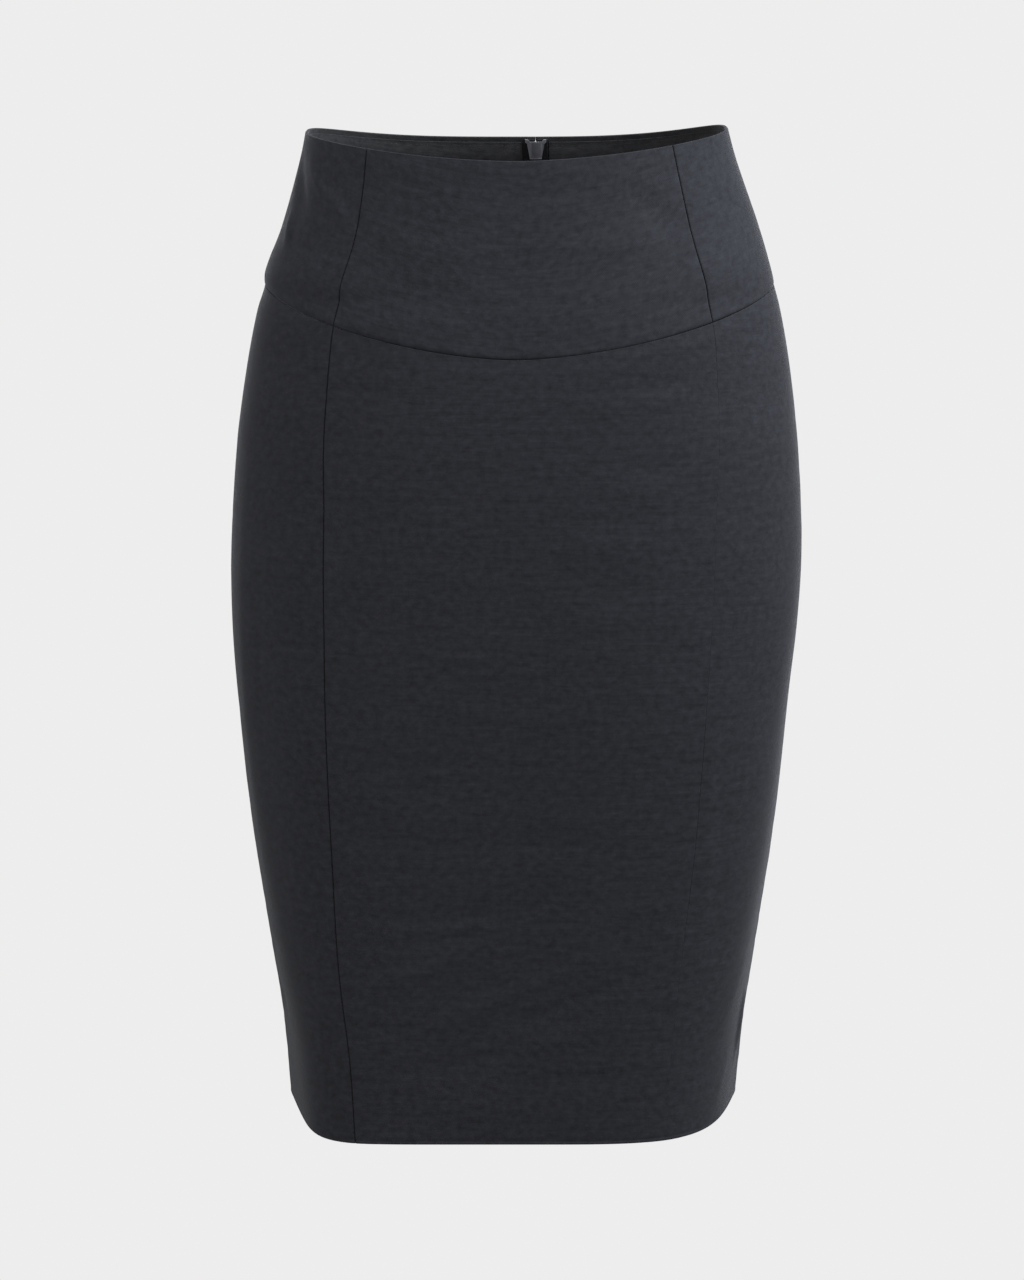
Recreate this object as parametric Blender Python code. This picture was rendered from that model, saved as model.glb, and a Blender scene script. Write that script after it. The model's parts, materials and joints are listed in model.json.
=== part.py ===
"""Pencil skirt, as worn: a wide contoured waist yoke over a body that tapers to the knee.

The front has princess seams, and the centre back has a concealed zip and a walking vent.
Every panel is a thin closed wall on one common surface, so the skirt is hollow and open
at the waist and at the hem. Run it with: blender --background --python part.py
"""

import math
from collections import namedtuple

import bmesh
import bpy
from mathutils import Vector

# Lengths are in millimetres until they go into a mesh. +Z is up, the front faces -Y, and
# +X is the wearer's left. The origin is on the waistline, in the middle of the opening.
MM = 0.001

# Angles run round the body, seen from above: left side, centre back, right side, front.
LEFT_SIDE = 0.0
CENTRE_BACK = math.radians(90)
RIGHT_SIDE = math.radians(180)
FULL_TURN = math.radians(360)

# ---------------------------------------------------------------- sizes

SEAM_GAP = 0.3          # left between two pieces that are sewn together
YOKE_WALL = 1.5         # two layers of suiting, fused
SKIRT_WALL = 1.2
FACING_WALL = 1.0
TAPE_WALL = 1.0

HEM_HEIGHT = -582.0

# The waist's top edge dips at the centre front and the centre back.
WAIST_CENTRE = 5.5
WAIST_SIDE_RIGHT = 15.8
WAIST_SIDE_LEFT = 18.0
WAIST_CURVE_FRONT = 1.6
WAIST_CURVE_BACK = 3.0

# The yoke is deepest at the centre, and its lower edge rises to the sides.
YOKE_SEAM_FRONT = -107.0
YOKE_SEAM_BACK = -95.0
YOKE_SEAM_SIDE = -74.5
YOKE_SEAM_CURVE = 1.7

FACING_DROP = 3.0       # the facing is rolled to the inside, below the waist edge
FACING_CLEARANCE = 0.4
FACING_FROM_ZIP = 8.0

TAPE_FROM_ZIP = 1.0
TAPE_EDGE = 7.6         # from the zip's line; the facing takes over from there
TAPE_TOP_DROP = 1.0
TAPE_BOTTOM = -200.0

VENT_TOP = -432.0
VENT_UNDERLAP = 34.0    # what the right back panel reaches under the left one
VENT_SINK = 12.0        # height over which the underlap drops behind the left panel
VENT_SPREAD = 18.0      # height over which it then reaches its full width

# The grids' fineness
COLUMN_ANGLE = math.radians(5.2)
YOKE_ROWS = 7
SKIRT_ROWS = 20
TAPE_ROWS = 16
TAPE_COLUMNS = 2

# ---------------------------------------------------------------- the body's form

# One row for each level section: half widths to the wearer's right and left, half depths
# in front and behind, how square the corners are (2 is an ellipse), and the shares by
# which each side draws in towards the front.
Section = namedtuple(
    "Section",
    "height right left front back corner_right corner_left corner_back "
    "taper_right taper_left",
)
SECTIONS = (
    Section(-582, 139.7, 138.6, 98.6, 97.5, 8.0, 4.6, 2.8, 0.150, 0.168),
    Section(-530, 143.8, 143.6, 99.4, 100.5, 6.4, 4.3, 2.7, 0.138, 0.150),
    Section(-480, 151.0, 150.4, 100.5, 104.5, 5.3, 4.0, 2.6, 0.115, 0.122),
    Section(-400, 162.1, 161.1, 102.5, 112.5, 4.2, 3.5, 2.5, 0.085, 0.085),
    Section(-320, 169.1, 168.2, 104.5, 121.5, 3.4, 3.1, 2.4, 0.050, 0.050),
    Section(-280, 171.3, 172.2, 105.0, 126.0, 3.1, 2.9, 2.4, 0.040, 0.040),
    Section(-240, 171.3, 174.1, 105.0, 128.5, 2.9, 2.75, 2.4, 0.030, 0.030),
    Section(-200, 169.1, 172.8, 104.5, 128.5, 2.7, 2.65, 2.4, 0.020, 0.020),
    Section(-160, 165.3, 169.6, 103.0, 125.0, 2.6, 2.6, 2.4, 0.010, 0.010),
    Section(-120, 159.3, 164.5, 100.5, 118.0, 2.5, 2.5, 2.45, 0.010, 0.010),
    Section(-90, 153.1, 158.9, 97.8, 110.5, 2.45, 2.45, 2.5, 0.000, 0.000),
    Section(-76, 148.8, 155.3, 96.2, 106.5, 2.4, 2.4, 2.5, 0.000, 0.000),
    Section(-66, 148.0, 153.2, 95.0, 103.5, 2.4, 2.4, 2.5, 0.000, 0.000),
    Section(-40, 137.9, 145.4, 92.0, 96.5, 2.35, 2.35, 2.6, 0.000, 0.000),
    Section(0, 126.5, 131.3, 88.0, 87.5, 2.3, 2.3, 2.7, 0.000, 0.000),
    Section(20, 122.4, 125.7, 86.0, 84.0, 2.3, 2.3, 2.7, 0.000, 0.000),
)
TAPER_CURVE = 1.1

# Where the seams run, in degrees: the princess seams from each side seam towards the
# front, and the centre-back line from the centre back towards the wearer's left.
Seam = namedtuple("Seam", "height right left back")
SEAMS = (
    Seam(-582, 50.7, 49.6, 0.0),
    Seam(-480, 50.8, 51.2, 0.0),
    Seam(-400, 52.2, 51.3, 0.0),
    Seam(-280, 53.1, 51.4, 0.0),
    Seam(-200, 52.3, 50.4, 0.0),
    Seam(-120, 50.4, 47.9, 2.2),
    Seam(-76, 50.1, 47.3, 4.0),
    Seam(-40, 50.7, 47.8, 5.3),
    Seam(0, 49.6, 46.9, 5.8),
    Seam(20, 48.7, 47.0, 5.8),
)

# How far each yoke edge stands from the zip's line: the seam opens for the slider's neck.
Slit = namedtuple("Slit", "height half")
SLIT = (
    Slit(-200, SEAM_GAP / 2),
    Slit(-17, SEAM_GAP / 2),
    Slit(-10, 0.95),
    Slit(20, 1.2),
)

# The right back panel's even columns start this far from the centre back. These rows are
# the columns that it adds there: how far past the centre-back line each lies where the
# seam is shut and where the vent is open, and its share of the step inwards.
UNDERLAP_START = 9.0
Fold = namedtuple("Fold", "shut open sunk")
UNDERLAP = (
    Fold(-5.0, -5.0, 0.0),
    Fold(-3.4, -3.0, 0.5),
    Fold(-1.8, -0.8, 1.0),
    Fold(-1.0, 0.5 * VENT_UNDERLAP, 1.0),
    Fold(-SEAM_GAP / 2, VENT_UNDERLAP, 1.0),
)

# ---------------------------------------------------------------- the zip's hard parts

# The slider lies flat on the inside of the tapes. Its neck passes out between the yoke's
# edges to a small arch, and the pull tab hangs on that arch outside.
SLIDER_BASE_HEIGHT = -2.0       # where the neck crosses the yoke's outer surface
SLIDER_ABOVE = 7.4
SLIDER_BELOW = 5.0
SLIDER_TOP_WIDTH = 13.0
SLIDER_TAIL_WIDTH = 6.8
SLIDER_THICKNESS = 2.6
SLIDER_DEPTH = YOKE_WALL + SEAM_GAP + TAPE_WALL + SEAM_GAP
SLIDER_SHOULDER = 6.2           # the wide part's lower end, above the hinge
SLIDER_WAIST = -3.8             # the tail's upper end, below it
SLIDER_CORNER = 0.9

NECK_WIDTH = 1.3
ARCH_RADIUS = 2.2
ARCH_HOLE_HALF_WIDTH = 1.2
ARCH_HOLE_RISE = 1.0            # above and below the hinge's axis
ARCH_HOLE_CORNER = 0.3
ARCH_STEPS = 12
HINGE_RISE = 1.7                # the hinge's axis above the yoke's outer surface

TAB_LENGTH = 24.5
TAB_NECK_WIDTH = 5.2
TAB_WIDTH = 6.8
TAB_THICKNESS = 0.9
TAB_BAR = 0.9
TAB_WINDOW_WIDTH = 2.6
TAB_WINDOW_LENGTH = 3.1
TAB_CORNER = 0.4
TAB_WINDOW_CORNER = 0.3
TAB_END_STEPS = 14

# ---------------------------------------------------------------- materials

Finish = namedtuple("Finish", "color roughness metallic")
FINISHES = {
    "suiting": Finish((0.024, 0.025, 0.028, 1.0), 0.85, 0.0),
    "facing": Finish((0.020, 0.020, 0.023, 1.0), 0.85, 0.0),
    "zip_tape": Finish((0.014, 0.014, 0.016, 1.0), 0.80, 0.0),
    "zip_metal": Finish((0.13, 0.13, 0.14, 1.0), 0.42, 0.8),
}


def make_material(slot):
    """A Principled material with the slot's finish."""
    finish = FINISHES[slot]
    material = bpy.data.materials.new(slot)
    material.use_nodes = True
    shader = material.node_tree.nodes["Principled BSDF"]
    shader.inputs["Base Color"].default_value = finish.color
    shader.inputs["Roughness"].default_value = finish.roughness
    shader.inputs["Metallic"].default_value = finish.metallic
    return material


def dress(thing, slot, sharp_angle=math.radians(35)):
    """Give an object its material, and shade it smooth between its edges."""
    thing.data.materials.append(make_material(slot))
    thing.data.shade_smooth()
    thing.data.set_sharp_from_angle(angle=sharp_angle)


# ---------------------------------------------------------------- the common surface


def mix(a, b, share):
    return a + (b - a) * share


def smooth_step(low, high, value):
    share = min(max((value - low) / (high - low), 0.0), 1.0)
    return share * share * (3 - 2 * share)


def read_table(rows, column, height):
    """A table's column at any height, on one smooth curve through its rows."""
    upper = 1
    while upper < len(rows) - 1 and rows[upper].height < height:
        upper += 1
    heights = [row.height for row in rows]
    values = [getattr(row, column) for row in rows]
    lower = upper - 1
    span = heights[upper] - heights[lower]
    share = (height - heights[lower]) / span

    def slope(index):
        before = max(index - 1, 0)
        after = min(index + 1, len(rows) - 1)
        return (values[after] - values[before]) / (heights[after] - heights[before])

    rise_low = slope(lower) * span
    rise_high = slope(upper) * span
    return (
        (2 * share**3 - 3 * share**2 + 1) * values[lower]
        + (share**3 - 2 * share**2 + share) * rise_low
        + (3 * share**2 - 2 * share**3) * values[upper]
        + (share**3 - share**2) * rise_high
    )


def read_steps(rows, column, height):
    """A table's column at any height, on straight lines between its rows."""
    upper = 1
    while upper < len(rows) - 1 and rows[upper].height < height:
        upper += 1
    low, high = rows[upper - 1], rows[upper]
    share = (height - low.height) / (high.height - low.height)
    share = min(max(share, 0.0), 1.0)
    return mix(getattr(low, column), getattr(high, column), share)


def form(column, height):
    return read_table(SECTIONS, column, height)


def unit_section(angle, height):
    """Where a section of half width and half depth 1 is at an angle."""
    across, along = math.cos(angle), math.sin(angle)
    if along > 0:
        corner = form("corner_back", height)
    else:
        left_share = smooth_step(-0.5, 0.5, across)
        corner = mix(form("corner_right", height), form("corner_left", height), left_share)
    reach = (abs(across) ** corner + abs(along) ** corner) ** (-1 / corner)
    return across * reach, along * reach


def outer_point(angle, height):
    """A point of the skirt's outer surface."""
    across, along = unit_section(angle, height)
    side = "left" if across > 0 else "right"
    half_width = form(side, height)
    half_depth = form("back" if along > 0 else "front", height)
    if along < 0:
        half_width *= 1 - form(f"taper_{side}", height) * abs(along) ** TAPER_CURVE
    return Vector((half_width * across, half_depth * along, height))


def girth_rate(angle, height):
    """How many millimetres the surface runs for each radian."""
    step = 0.002
    ahead = outer_point(angle + step, height)
    behind = outer_point(angle - step, height)
    return (ahead - behind).length / (2 * step)


def surface_point(angle, height, inset=0.0):
    """A point at a depth under the outer surface, along its normal."""
    point = outer_point(angle, height)
    if inset == 0:
        return point
    turn, climb = 0.02, 2.0
    along = outer_point(angle + turn, height) - outer_point(angle - turn, height)
    up = outer_point(angle, height + climb) - outer_point(angle, height - climb)
    return point - along.cross(up).normalized() * inset


# ---------------------------------------------------------------- seams and edges


def waist_edge(angle):
    """The height of the waist's top edge."""
    across, along = unit_section(angle, WAIST_CENTRE)
    side = WAIST_SIDE_LEFT if across > 0 else WAIST_SIDE_RIGHT
    curve = WAIST_CURVE_BACK if along > 0 else WAIST_CURVE_FRONT
    return mix(WAIST_CENTRE, side, abs(across) ** curve)


def yoke_seam(angle):
    """The height of the seam between the yoke and the skirt."""
    across, along = unit_section(angle, YOKE_SEAM_SIDE)
    centre = YOKE_SEAM_BACK if along > 0 else YOKE_SEAM_FRONT
    return mix(centre, YOKE_SEAM_SIDE, abs(across) ** YOKE_SEAM_CURVE)


def hem_edge(angle):
    return HEM_HEIGHT


def above(edge, distance):
    return lambda angle: edge(angle) + distance


def side_left(height):
    return LEFT_SIDE


def side_left_again(height):
    return FULL_TURN


def side_right(height):
    return RIGHT_SIDE


def princess_right(height):
    return RIGHT_SIDE + math.radians(read_table(SEAMS, "right", height))


def princess_left(height):
    return FULL_TURN - math.radians(read_table(SEAMS, "left", height))


def back_line(height):
    return CENTRE_BACK - math.radians(read_table(SEAMS, "back", height))


def beside(line, distance):
    """A line at a distance round the body from another, positive to larger angles."""

    def shifted(height):
        angle = line(height)
        gap = distance(height) if callable(distance) else distance
        return angle + gap / girth_rate(angle, height)

    return shifted


def slit_half(height):
    return read_steps(SLIT, "half", height)


def minus_slit_half(height):
    return -slit_half(height)


# ---------------------------------------------------------------- walls


def panel_place(start, end, bottom, top, across, upward):
    """The angle and height at given shares of a panel's width and length."""
    height = mix(bottom(LEFT_SIDE), top(LEFT_SIDE), upward)
    for _ in range(6):
        angle = mix(start(height), end(height), across)
        height = mix(bottom(angle), top(angle), upward)
    return angle, height


def even_shares(count):
    return [index / count for index in range(count + 1)]


def columns_between(start, end):
    """Enough even columns for the angle between two lines, at hip height."""
    hip = -200
    return even_shares(max(1, round((end(hip) - start(hip)) / COLUMN_ANGLE)))


def make_wall(name, places, inset, wall, slot):
    """A closed wall over a grid of places; inset is the depth of its outer side.

    Each place is an angle, a height and a further depth under the outer surface.
    """
    rows, columns = len(places), len(places[0])
    points = []
    for depth in (inset, inset + wall):
        for row in places:
            for angle, height, sunk in row:
                points.append(surface_point(angle, height, depth + sunk) * MM)
    inner = rows * columns

    def at(row, column):
        return row * columns + column

    faces = []
    for row in range(rows - 1):
        for column in range(columns - 1):
            quad = (
                at(row, column),
                at(row, column + 1),
                at(row + 1, column + 1),
                at(row + 1, column),
            )
            faces.append(quad)
            faces.append(tuple(inner + corner for corner in reversed(quad)))
    rim = [at(0, column) for column in range(columns)]
    rim += [at(row, columns - 1) for row in range(1, rows)]
    rim += [at(rows - 1, column) for column in reversed(range(columns - 1))]
    rim += [at(row, 0) for row in reversed(range(1, rows - 1))]
    for here, there in zip(rim, rim[1:] + rim[:1]):
        faces.append((here, inner + here, inner + there, there))

    mesh = bpy.data.meshes.new(name)
    mesh.from_pydata(points, [], faces)
    thing = bpy.data.objects.new(name, mesh)
    bpy.context.collection.objects.link(thing)
    dress(thing, slot)
    return thing


def plain_places(start, end, bottom, top, across, upward):
    """A panel's grid of places, with no step in its depth."""
    places = []
    for share_up in upward:
        row = []
        for share_across in across:
            angle, height = panel_place(start, end, bottom, top, share_across, share_up)
            row.append((angle, height, 0.0))
        places.append(row)
    return places


def make_panel(name, start, end, bottom, top, rows, wall, inset=0.0, slot="suiting"):
    """A sewn panel between two lines round the body and two edges."""
    across = columns_between(start, end)
    places = plain_places(start, end, bottom, top, across, even_shares(rows))
    return make_wall(name, places, inset, wall, slot)


# ---------------------------------------------------------------- the yoke and the skirt


def front_panels(level, bottom, top, rows, wall):
    """The side and centre panels of the front, between their princess seams."""
    half_gap = SEAM_GAP / 2
    spans = (
        ("front_side_right", side_right, princess_right),
        ("front_centre", princess_right, princess_left),
        ("front_side_left", princess_left, side_left_again),
    )
    for piece, start, end in spans:
        start_edge = beside(start, half_gap)
        end_edge = beside(end, -half_gap)
        make_panel(f"{level}_{piece}", start_edge, end_edge, bottom, top, rows, wall)


def make_yoke():
    half_gap = SEAM_GAP / 2
    bottom = above(yoke_seam, half_gap)
    front_panels("yoke", bottom, waist_edge, YOKE_ROWS, YOKE_WALL)

    left_start = beside(side_left, half_gap)
    left_end = beside(back_line, minus_slit_half)
    right_start = beside(back_line, slit_half)
    right_end = beside(side_right, -half_gap)
    make_panel("yoke_back_left", left_start, left_end, bottom, waist_edge, YOKE_ROWS, YOKE_WALL)
    make_panel("yoke_back_right", right_start, right_end, bottom, waist_edge, YOKE_ROWS, YOKE_WALL)

    facing_top = above(waist_edge, -FACING_DROP)
    facing_inset = YOKE_WALL + FACING_CLEARANCE
    facing_end = beside(back_line, -FACING_FROM_ZIP)
    facing_start = beside(back_line, FACING_FROM_ZIP)
    for side, start, end in (
        ("left", left_start, facing_end),
        ("right", facing_start, right_end),
    ):
        make_panel(
            f"yoke_facing_back_{side}",
            start, end, bottom, facing_top, YOKE_ROWS, FACING_WALL, facing_inset, "facing",
        )


def shares_with(heights):
    """Even shares of the back's length, but for rows at the given heights."""
    top = YOKE_SEAM_BACK - SEAM_GAP / 2
    extra = [(height - HEM_HEIGHT) / (top - HEM_HEIGHT) for height in heights]
    margin = 0.5 / SKIRT_ROWS
    plain = [
        share for share in even_shares(SKIRT_ROWS)
        if not min(extra) - margin < share < max(extra) + margin
    ]
    return sorted(plain + extra)


def underlap_places(start, end, bottom, top, across, upward):
    """The right back panel's places, with the vent's underlap at the centre back."""
    step_in = SKIRT_WALL + SEAM_GAP
    places = []
    for share_up in upward:
        row = []
        for share_across in across:
            angle, height = panel_place(start, end, bottom, top, share_across, share_up)
            row.append((angle, height, 0.0))
        height = mix(bottom(CENTRE_BACK), top(CENTRE_BACK), share_up)
        line = back_line(height)
        sink = smooth_step(VENT_TOP + VENT_SINK, VENT_TOP, height)
        spread = smooth_step(VENT_TOP, VENT_TOP - VENT_SPREAD, height)
        folds = []
        for fold in UNDERLAP:
            past = mix(fold.shut, fold.open, spread)
            angle = line - past / girth_rate(line, height)
            folds.append((angle, height, step_in * fold.sunk * sink))
        places.append(list(reversed(folds)) + row)
    return places


def make_skirt():
    half_gap = SEAM_GAP / 2
    top = above(yoke_seam, -half_gap)
    front_panels("skirt", hem_edge, top, SKIRT_ROWS, SKIRT_WALL)

    vent_heights = [
        VENT_TOP + VENT_SINK,
        VENT_TOP + VENT_SINK / 2,
        VENT_TOP,
        VENT_TOP - VENT_SPREAD / 2,
        VENT_TOP - VENT_SPREAD,
    ]
    upward = shares_with(vent_heights)

    left_start = beside(side_left, half_gap)
    left_end = beside(back_line, -half_gap)
    across = columns_between(left_start, left_end)
    places = plain_places(left_start, left_end, hem_edge, top, across, upward)
    make_wall("skirt_back_left", places, 0.0, SKIRT_WALL, "suiting")

    right_start = beside(back_line, UNDERLAP_START)
    right_end = beside(side_right, -half_gap)
    across = columns_between(right_start, right_end)
    places = underlap_places(right_start, right_end, hem_edge, top, across, upward)
    make_wall("skirt_back_right", places, 0.0, SKIRT_WALL, "suiting")


# ---------------------------------------------------------------- the zip


def make_tapes():
    """The zip's two tapes, on the inside of the yoke and the back panels."""
    inset = YOKE_WALL + SEAM_GAP
    top = above(waist_edge, -TAPE_TOP_DROP)

    def bottom(angle):
        return TAPE_BOTTOM

    near, far = TAPE_FROM_ZIP, TAPE_EDGE
    spans = {"left": (-far, -near), "right": (near, far)}
    for side, (low, high) in spans.items():
        places = plain_places(
            beside(back_line, low), beside(back_line, high), bottom, top,
            even_shares(TAPE_COLUMNS), even_shares(TAPE_ROWS),
        )
        make_wall(f"zip_tape_{side}", places, inset, TAPE_WALL, "zip_tape")


def rounded_outline(corners, radius, steps=4):
    """A closed outline of straight sides, with each corner turned into an arc."""
    points = []
    for index, corner in enumerate(corners):
        before = (corners[index - 1] - corner).normalized()
        after = (corners[(index + 1) % len(corners)] - corner).normalized()
        half_angle = before.angle(after) / 2
        setback = radius / math.tan(half_angle)
        centre = corner + (before + after).normalized() * (radius / math.sin(half_angle))
        start = corner + before * setback - centre
        end = corner + after * setback - centre
        for step in range(steps + 1):
            turned = start.slerp(end, step / steps).normalized()
            points.append(centre + turned * radius)
    return points


def make_plate(name, outline, thickness, axis, low, holes=()):
    """A flat plate: outlines in the plane across an axis, extruded along it."""
    shape = bmesh.new()
    edges = []
    for loop in (outline, *holes):
        corners = [shape.verts.new(point * MM) for point in loop]
        for here, there in zip(corners, corners[1:] + corners[:1]):
            edges.append(shape.edges.new((here, there)))
    bmesh.ops.triangle_fill(shape, edges=edges, use_beauty=True)
    bmesh.ops.translate(shape, verts=shape.verts, vec=axis * low * MM)
    side = bmesh.ops.extrude_face_region(shape, geom=list(shape.faces))
    moved = [item for item in side["geom"] if isinstance(item, bmesh.types.BMVert)]
    bmesh.ops.translate(shape, verts=moved, vec=axis * thickness * MM)
    bmesh.ops.recalc_face_normals(shape, faces=list(shape.faces))
    mesh = bpy.data.meshes.new(name)
    shape.to_mesh(mesh)
    shape.free()
    thing = bpy.data.objects.new(name, mesh)
    bpy.context.collection.objects.link(thing)
    return thing


def zip_frame():
    """The base point on the yoke's outer surface, and the tilt of the surface there."""
    angle = back_line(SLIDER_BASE_HEIGHT)
    base = outer_point(angle, SLIDER_BASE_HEIGHT)
    above_it = outer_point(angle, SLIDER_BASE_HEIGHT + SLIDER_ABOVE)
    below_it = outer_point(angle, SLIDER_BASE_HEIGHT - SLIDER_BELOW)
    tilt = math.atan2(below_it.y - above_it.y, above_it.z - below_it.z)
    return base, tilt


# In the slider's own frame X is across, Y is out of the cloth and Z is up along it, and
# the origin is on the hinge's axis.
ACROSS = Vector((1, 0, 0))
OUTWARD = Vector((0, 1, 0))


def slider_body():
    """The slider's flat body, on the inside of the tapes."""
    half_top, half_tail = SLIDER_TOP_WIDTH / 2, SLIDER_TAIL_WIDTH / 2
    corners = [
        Vector((-half_top, 0, SLIDER_ABOVE)),
        Vector((half_top, 0, SLIDER_ABOVE)),
        Vector((half_top, 0, SLIDER_SHOULDER)),
        Vector((half_tail, 0, SLIDER_WAIST)),
        Vector((half_tail, 0, -SLIDER_BELOW)),
        Vector((-half_tail, 0, -SLIDER_BELOW)),
        Vector((-half_tail, 0, SLIDER_WAIST)),
        Vector((-half_top, 0, SLIDER_SHOULDER)),
    ]
    outline = rounded_outline(corners, SLIDER_CORNER)
    inner_face = -HINGE_RISE - SLIDER_DEPTH - SLIDER_THICKNESS
    return make_plate("zip_slider", outline, SLIDER_THICKNESS, OUTWARD, inner_face)


def slider_neck():
    """The neck and the arch that the pull tab hangs on, as one flat piece."""
    root = -HINGE_RISE - SLIDER_DEPTH - SLIDER_THICKNESS / 2
    arc = [math.pi * share for share in even_shares(ARCH_STEPS)]
    outline = [Vector((0, ARCH_RADIUS * math.sin(a), ARCH_RADIUS * math.cos(a))) for a in arc]
    outline += [Vector((0, root, -ARCH_RADIUS)), Vector((0, root, ARCH_RADIUS))]
    rise, half_width = ARCH_HOLE_RISE, ARCH_HOLE_HALF_WIDTH
    hole_corners = [
        Vector((0, -rise, -half_width)),
        Vector((0, rise, -half_width)),
        Vector((0, rise, half_width)),
        Vector((0, -rise, half_width)),
    ]
    hole = rounded_outline(hole_corners, ARCH_HOLE_CORNER, 2)
    return make_plate("zip_neck", outline, NECK_WIDTH, ACROSS, -NECK_WIDTH / 2, [hole])


def pull_tab():
    """The pull tab, hanging from its bar at the origin, with a window for the arch."""
    half_neck, half_width = TAB_NECK_WIDTH / 2, TAB_WIDTH / 2
    half_bar = TAB_BAR / 2
    end_centre = Vector((0, 0, half_width - TAB_LENGTH))
    head = rounded_outline(
        [
            Vector((-half_neck, 0, half_bar)),
            Vector((half_neck, 0, half_bar)),
            Vector((half_width, 0, end_centre.z)),
            Vector((-half_width, 0, end_centre.z)),
        ],
        TAB_CORNER,
    )
    arc = [math.pi * share for share in even_shares(TAB_END_STEPS)]
    outline = head[:len(head) // 2] + [
        end_centre + Vector((half_width * math.cos(a), 0, -half_width * math.sin(a)))
        for a in arc
    ]
    half_window = TAB_WINDOW_WIDTH / 2
    window_corners = [
        Vector((-half_window, 0, -half_bar)),
        Vector((half_window, 0, -half_bar)),
        Vector((half_window, 0, -half_bar - TAB_WINDOW_LENGTH)),
        Vector((-half_window, 0, -half_bar - TAB_WINDOW_LENGTH)),
    ]
    window = rounded_outline(window_corners, TAB_WINDOW_CORNER, 2)
    back_face = -TAB_THICKNESS / 2
    return make_plate("zip_pull_tab", outline, TAB_THICKNESS, OUTWARD, back_face, [window])


def make_slider():
    """The slider with its neck and arch, and the pull tab that turns on the arch."""
    base, tilt = zip_frame()
    outward = Vector((0, math.cos(tilt), math.sin(tilt)))
    hinge = (base + outward * HINGE_RISE) * MM
    slider = slider_body()
    neck = slider_neck()
    tab = pull_tab()
    for thing in (slider, neck, tab):
        thing.location = hinge
        thing.rotation_euler = (tilt, 0, 0)
    neck.hide_render = True
    neck.display_type = "WIRE"
    join = slider.modifiers.new("neck", "BOOLEAN")
    join.operation = "UNION"
    join.object = neck
    dress(slider, "zip_metal")
    dress(tab, "zip_metal")


# ---------------------------------------------------------------- the whole skirt


def main():
    for thing in list(bpy.data.objects):
        bpy.data.objects.remove(thing)
    make_yoke()
    make_skirt()
    make_tapes()
    make_slider()


main()
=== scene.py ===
"""The pencil skirt's looks: its cloth, sewing, zip, finishes, light and camera.

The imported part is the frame. Every cloth panel is built again as a thin shell on the same
surface as its solid, with rolled seams, creases and a woven suiting, and the zip's slider
and pull tab are built again in finer metalwork.
"""

import json
import math
import random
from collections import namedtuple

import bmesh
import bpy
import numpy as np
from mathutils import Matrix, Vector


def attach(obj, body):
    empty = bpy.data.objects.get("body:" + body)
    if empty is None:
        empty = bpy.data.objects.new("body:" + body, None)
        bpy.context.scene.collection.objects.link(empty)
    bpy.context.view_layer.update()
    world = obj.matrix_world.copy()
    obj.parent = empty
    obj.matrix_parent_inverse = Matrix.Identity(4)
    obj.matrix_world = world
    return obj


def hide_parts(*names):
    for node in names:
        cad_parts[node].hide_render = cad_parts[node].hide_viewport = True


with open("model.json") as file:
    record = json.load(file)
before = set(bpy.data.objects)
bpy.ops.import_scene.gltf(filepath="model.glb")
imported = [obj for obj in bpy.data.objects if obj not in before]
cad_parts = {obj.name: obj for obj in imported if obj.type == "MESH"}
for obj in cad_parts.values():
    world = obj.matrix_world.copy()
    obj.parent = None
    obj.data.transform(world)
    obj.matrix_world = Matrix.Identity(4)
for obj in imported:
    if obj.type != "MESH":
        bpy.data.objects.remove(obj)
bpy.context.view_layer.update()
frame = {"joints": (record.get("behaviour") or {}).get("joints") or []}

# Lengths are in millimetres until they go into a mesh. +Z is up, the front faces -Y, and
# +X is the wearer's left. Angles run round the body, seen from above.
MM = 0.001
LEFT_SIDE = 0.0
CENTRE_BACK = math.radians(90)
RIGHT_SIDE = math.radians(180)
FULL_TURN = math.radians(360)


def table(kind, *rows):
    """A table's rows, each with its values named."""
    return tuple(kind(*row) for row in rows)


# ---------------------------------------------------------------- sizes

HALF_SEEN = 0.03        # half the gap between two panels where they are sewn together
HALF_FAINT = 0.007      # and where the seam nearly closes up
YOKE_WALL = 1.5
SKIRT_WALL = 1.2
FACING_WALL = 1.0
TAPE_WALL = 1.0
SOLID_GAP = 0.3         # what the part's solids leave between two layers

HEM_HEIGHT = -582.0
WAIST_CENTRE = 5.5
WAIST_SIDE_RIGHT = 15.8
WAIST_SIDE_LEFT = 18.0
WAIST_CURVE_FRONT = 1.6
WAIST_CURVE_BACK = 3.0
YOKE_SEAM_FRONT = -107.0
YOKE_SEAM_BACK = -95.0
YOKE_SEAM_SIDE = -74.5
YOKE_SEAM_CURVE = 1.7

FACING_DROP = 3.0
FACING_CLEARANCE = 0.4
FACING_FROM_ZIP = 8.0
TAPE_FROM_ZIP = 1.0
TAPE_EDGE = 7.6
TAPE_TOP_DROP = 1.0
TAPE_BOTTOM = -200.0

VENT_TOP = -432.0
VENT_UNDERLAP = 34.0
VENT_SINK = 12.0        # over this height above the vent the cloth sinks under the left panel
VENT_SPREAD = 18.0      # how far the underlap's top slopes down to its free edge
UNDERLAP_START = 9.0
OPEN_BELOW_ZIP = (14, 8)        # where the centre-back seam's allowances open below the zip
OPEN_ABOVE_VENT = (14, 20)      # and where they close above the vent
HEM_BESIDE_VENT = (1, 3)        # and how far past the underlap the turned-up hem starts

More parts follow.
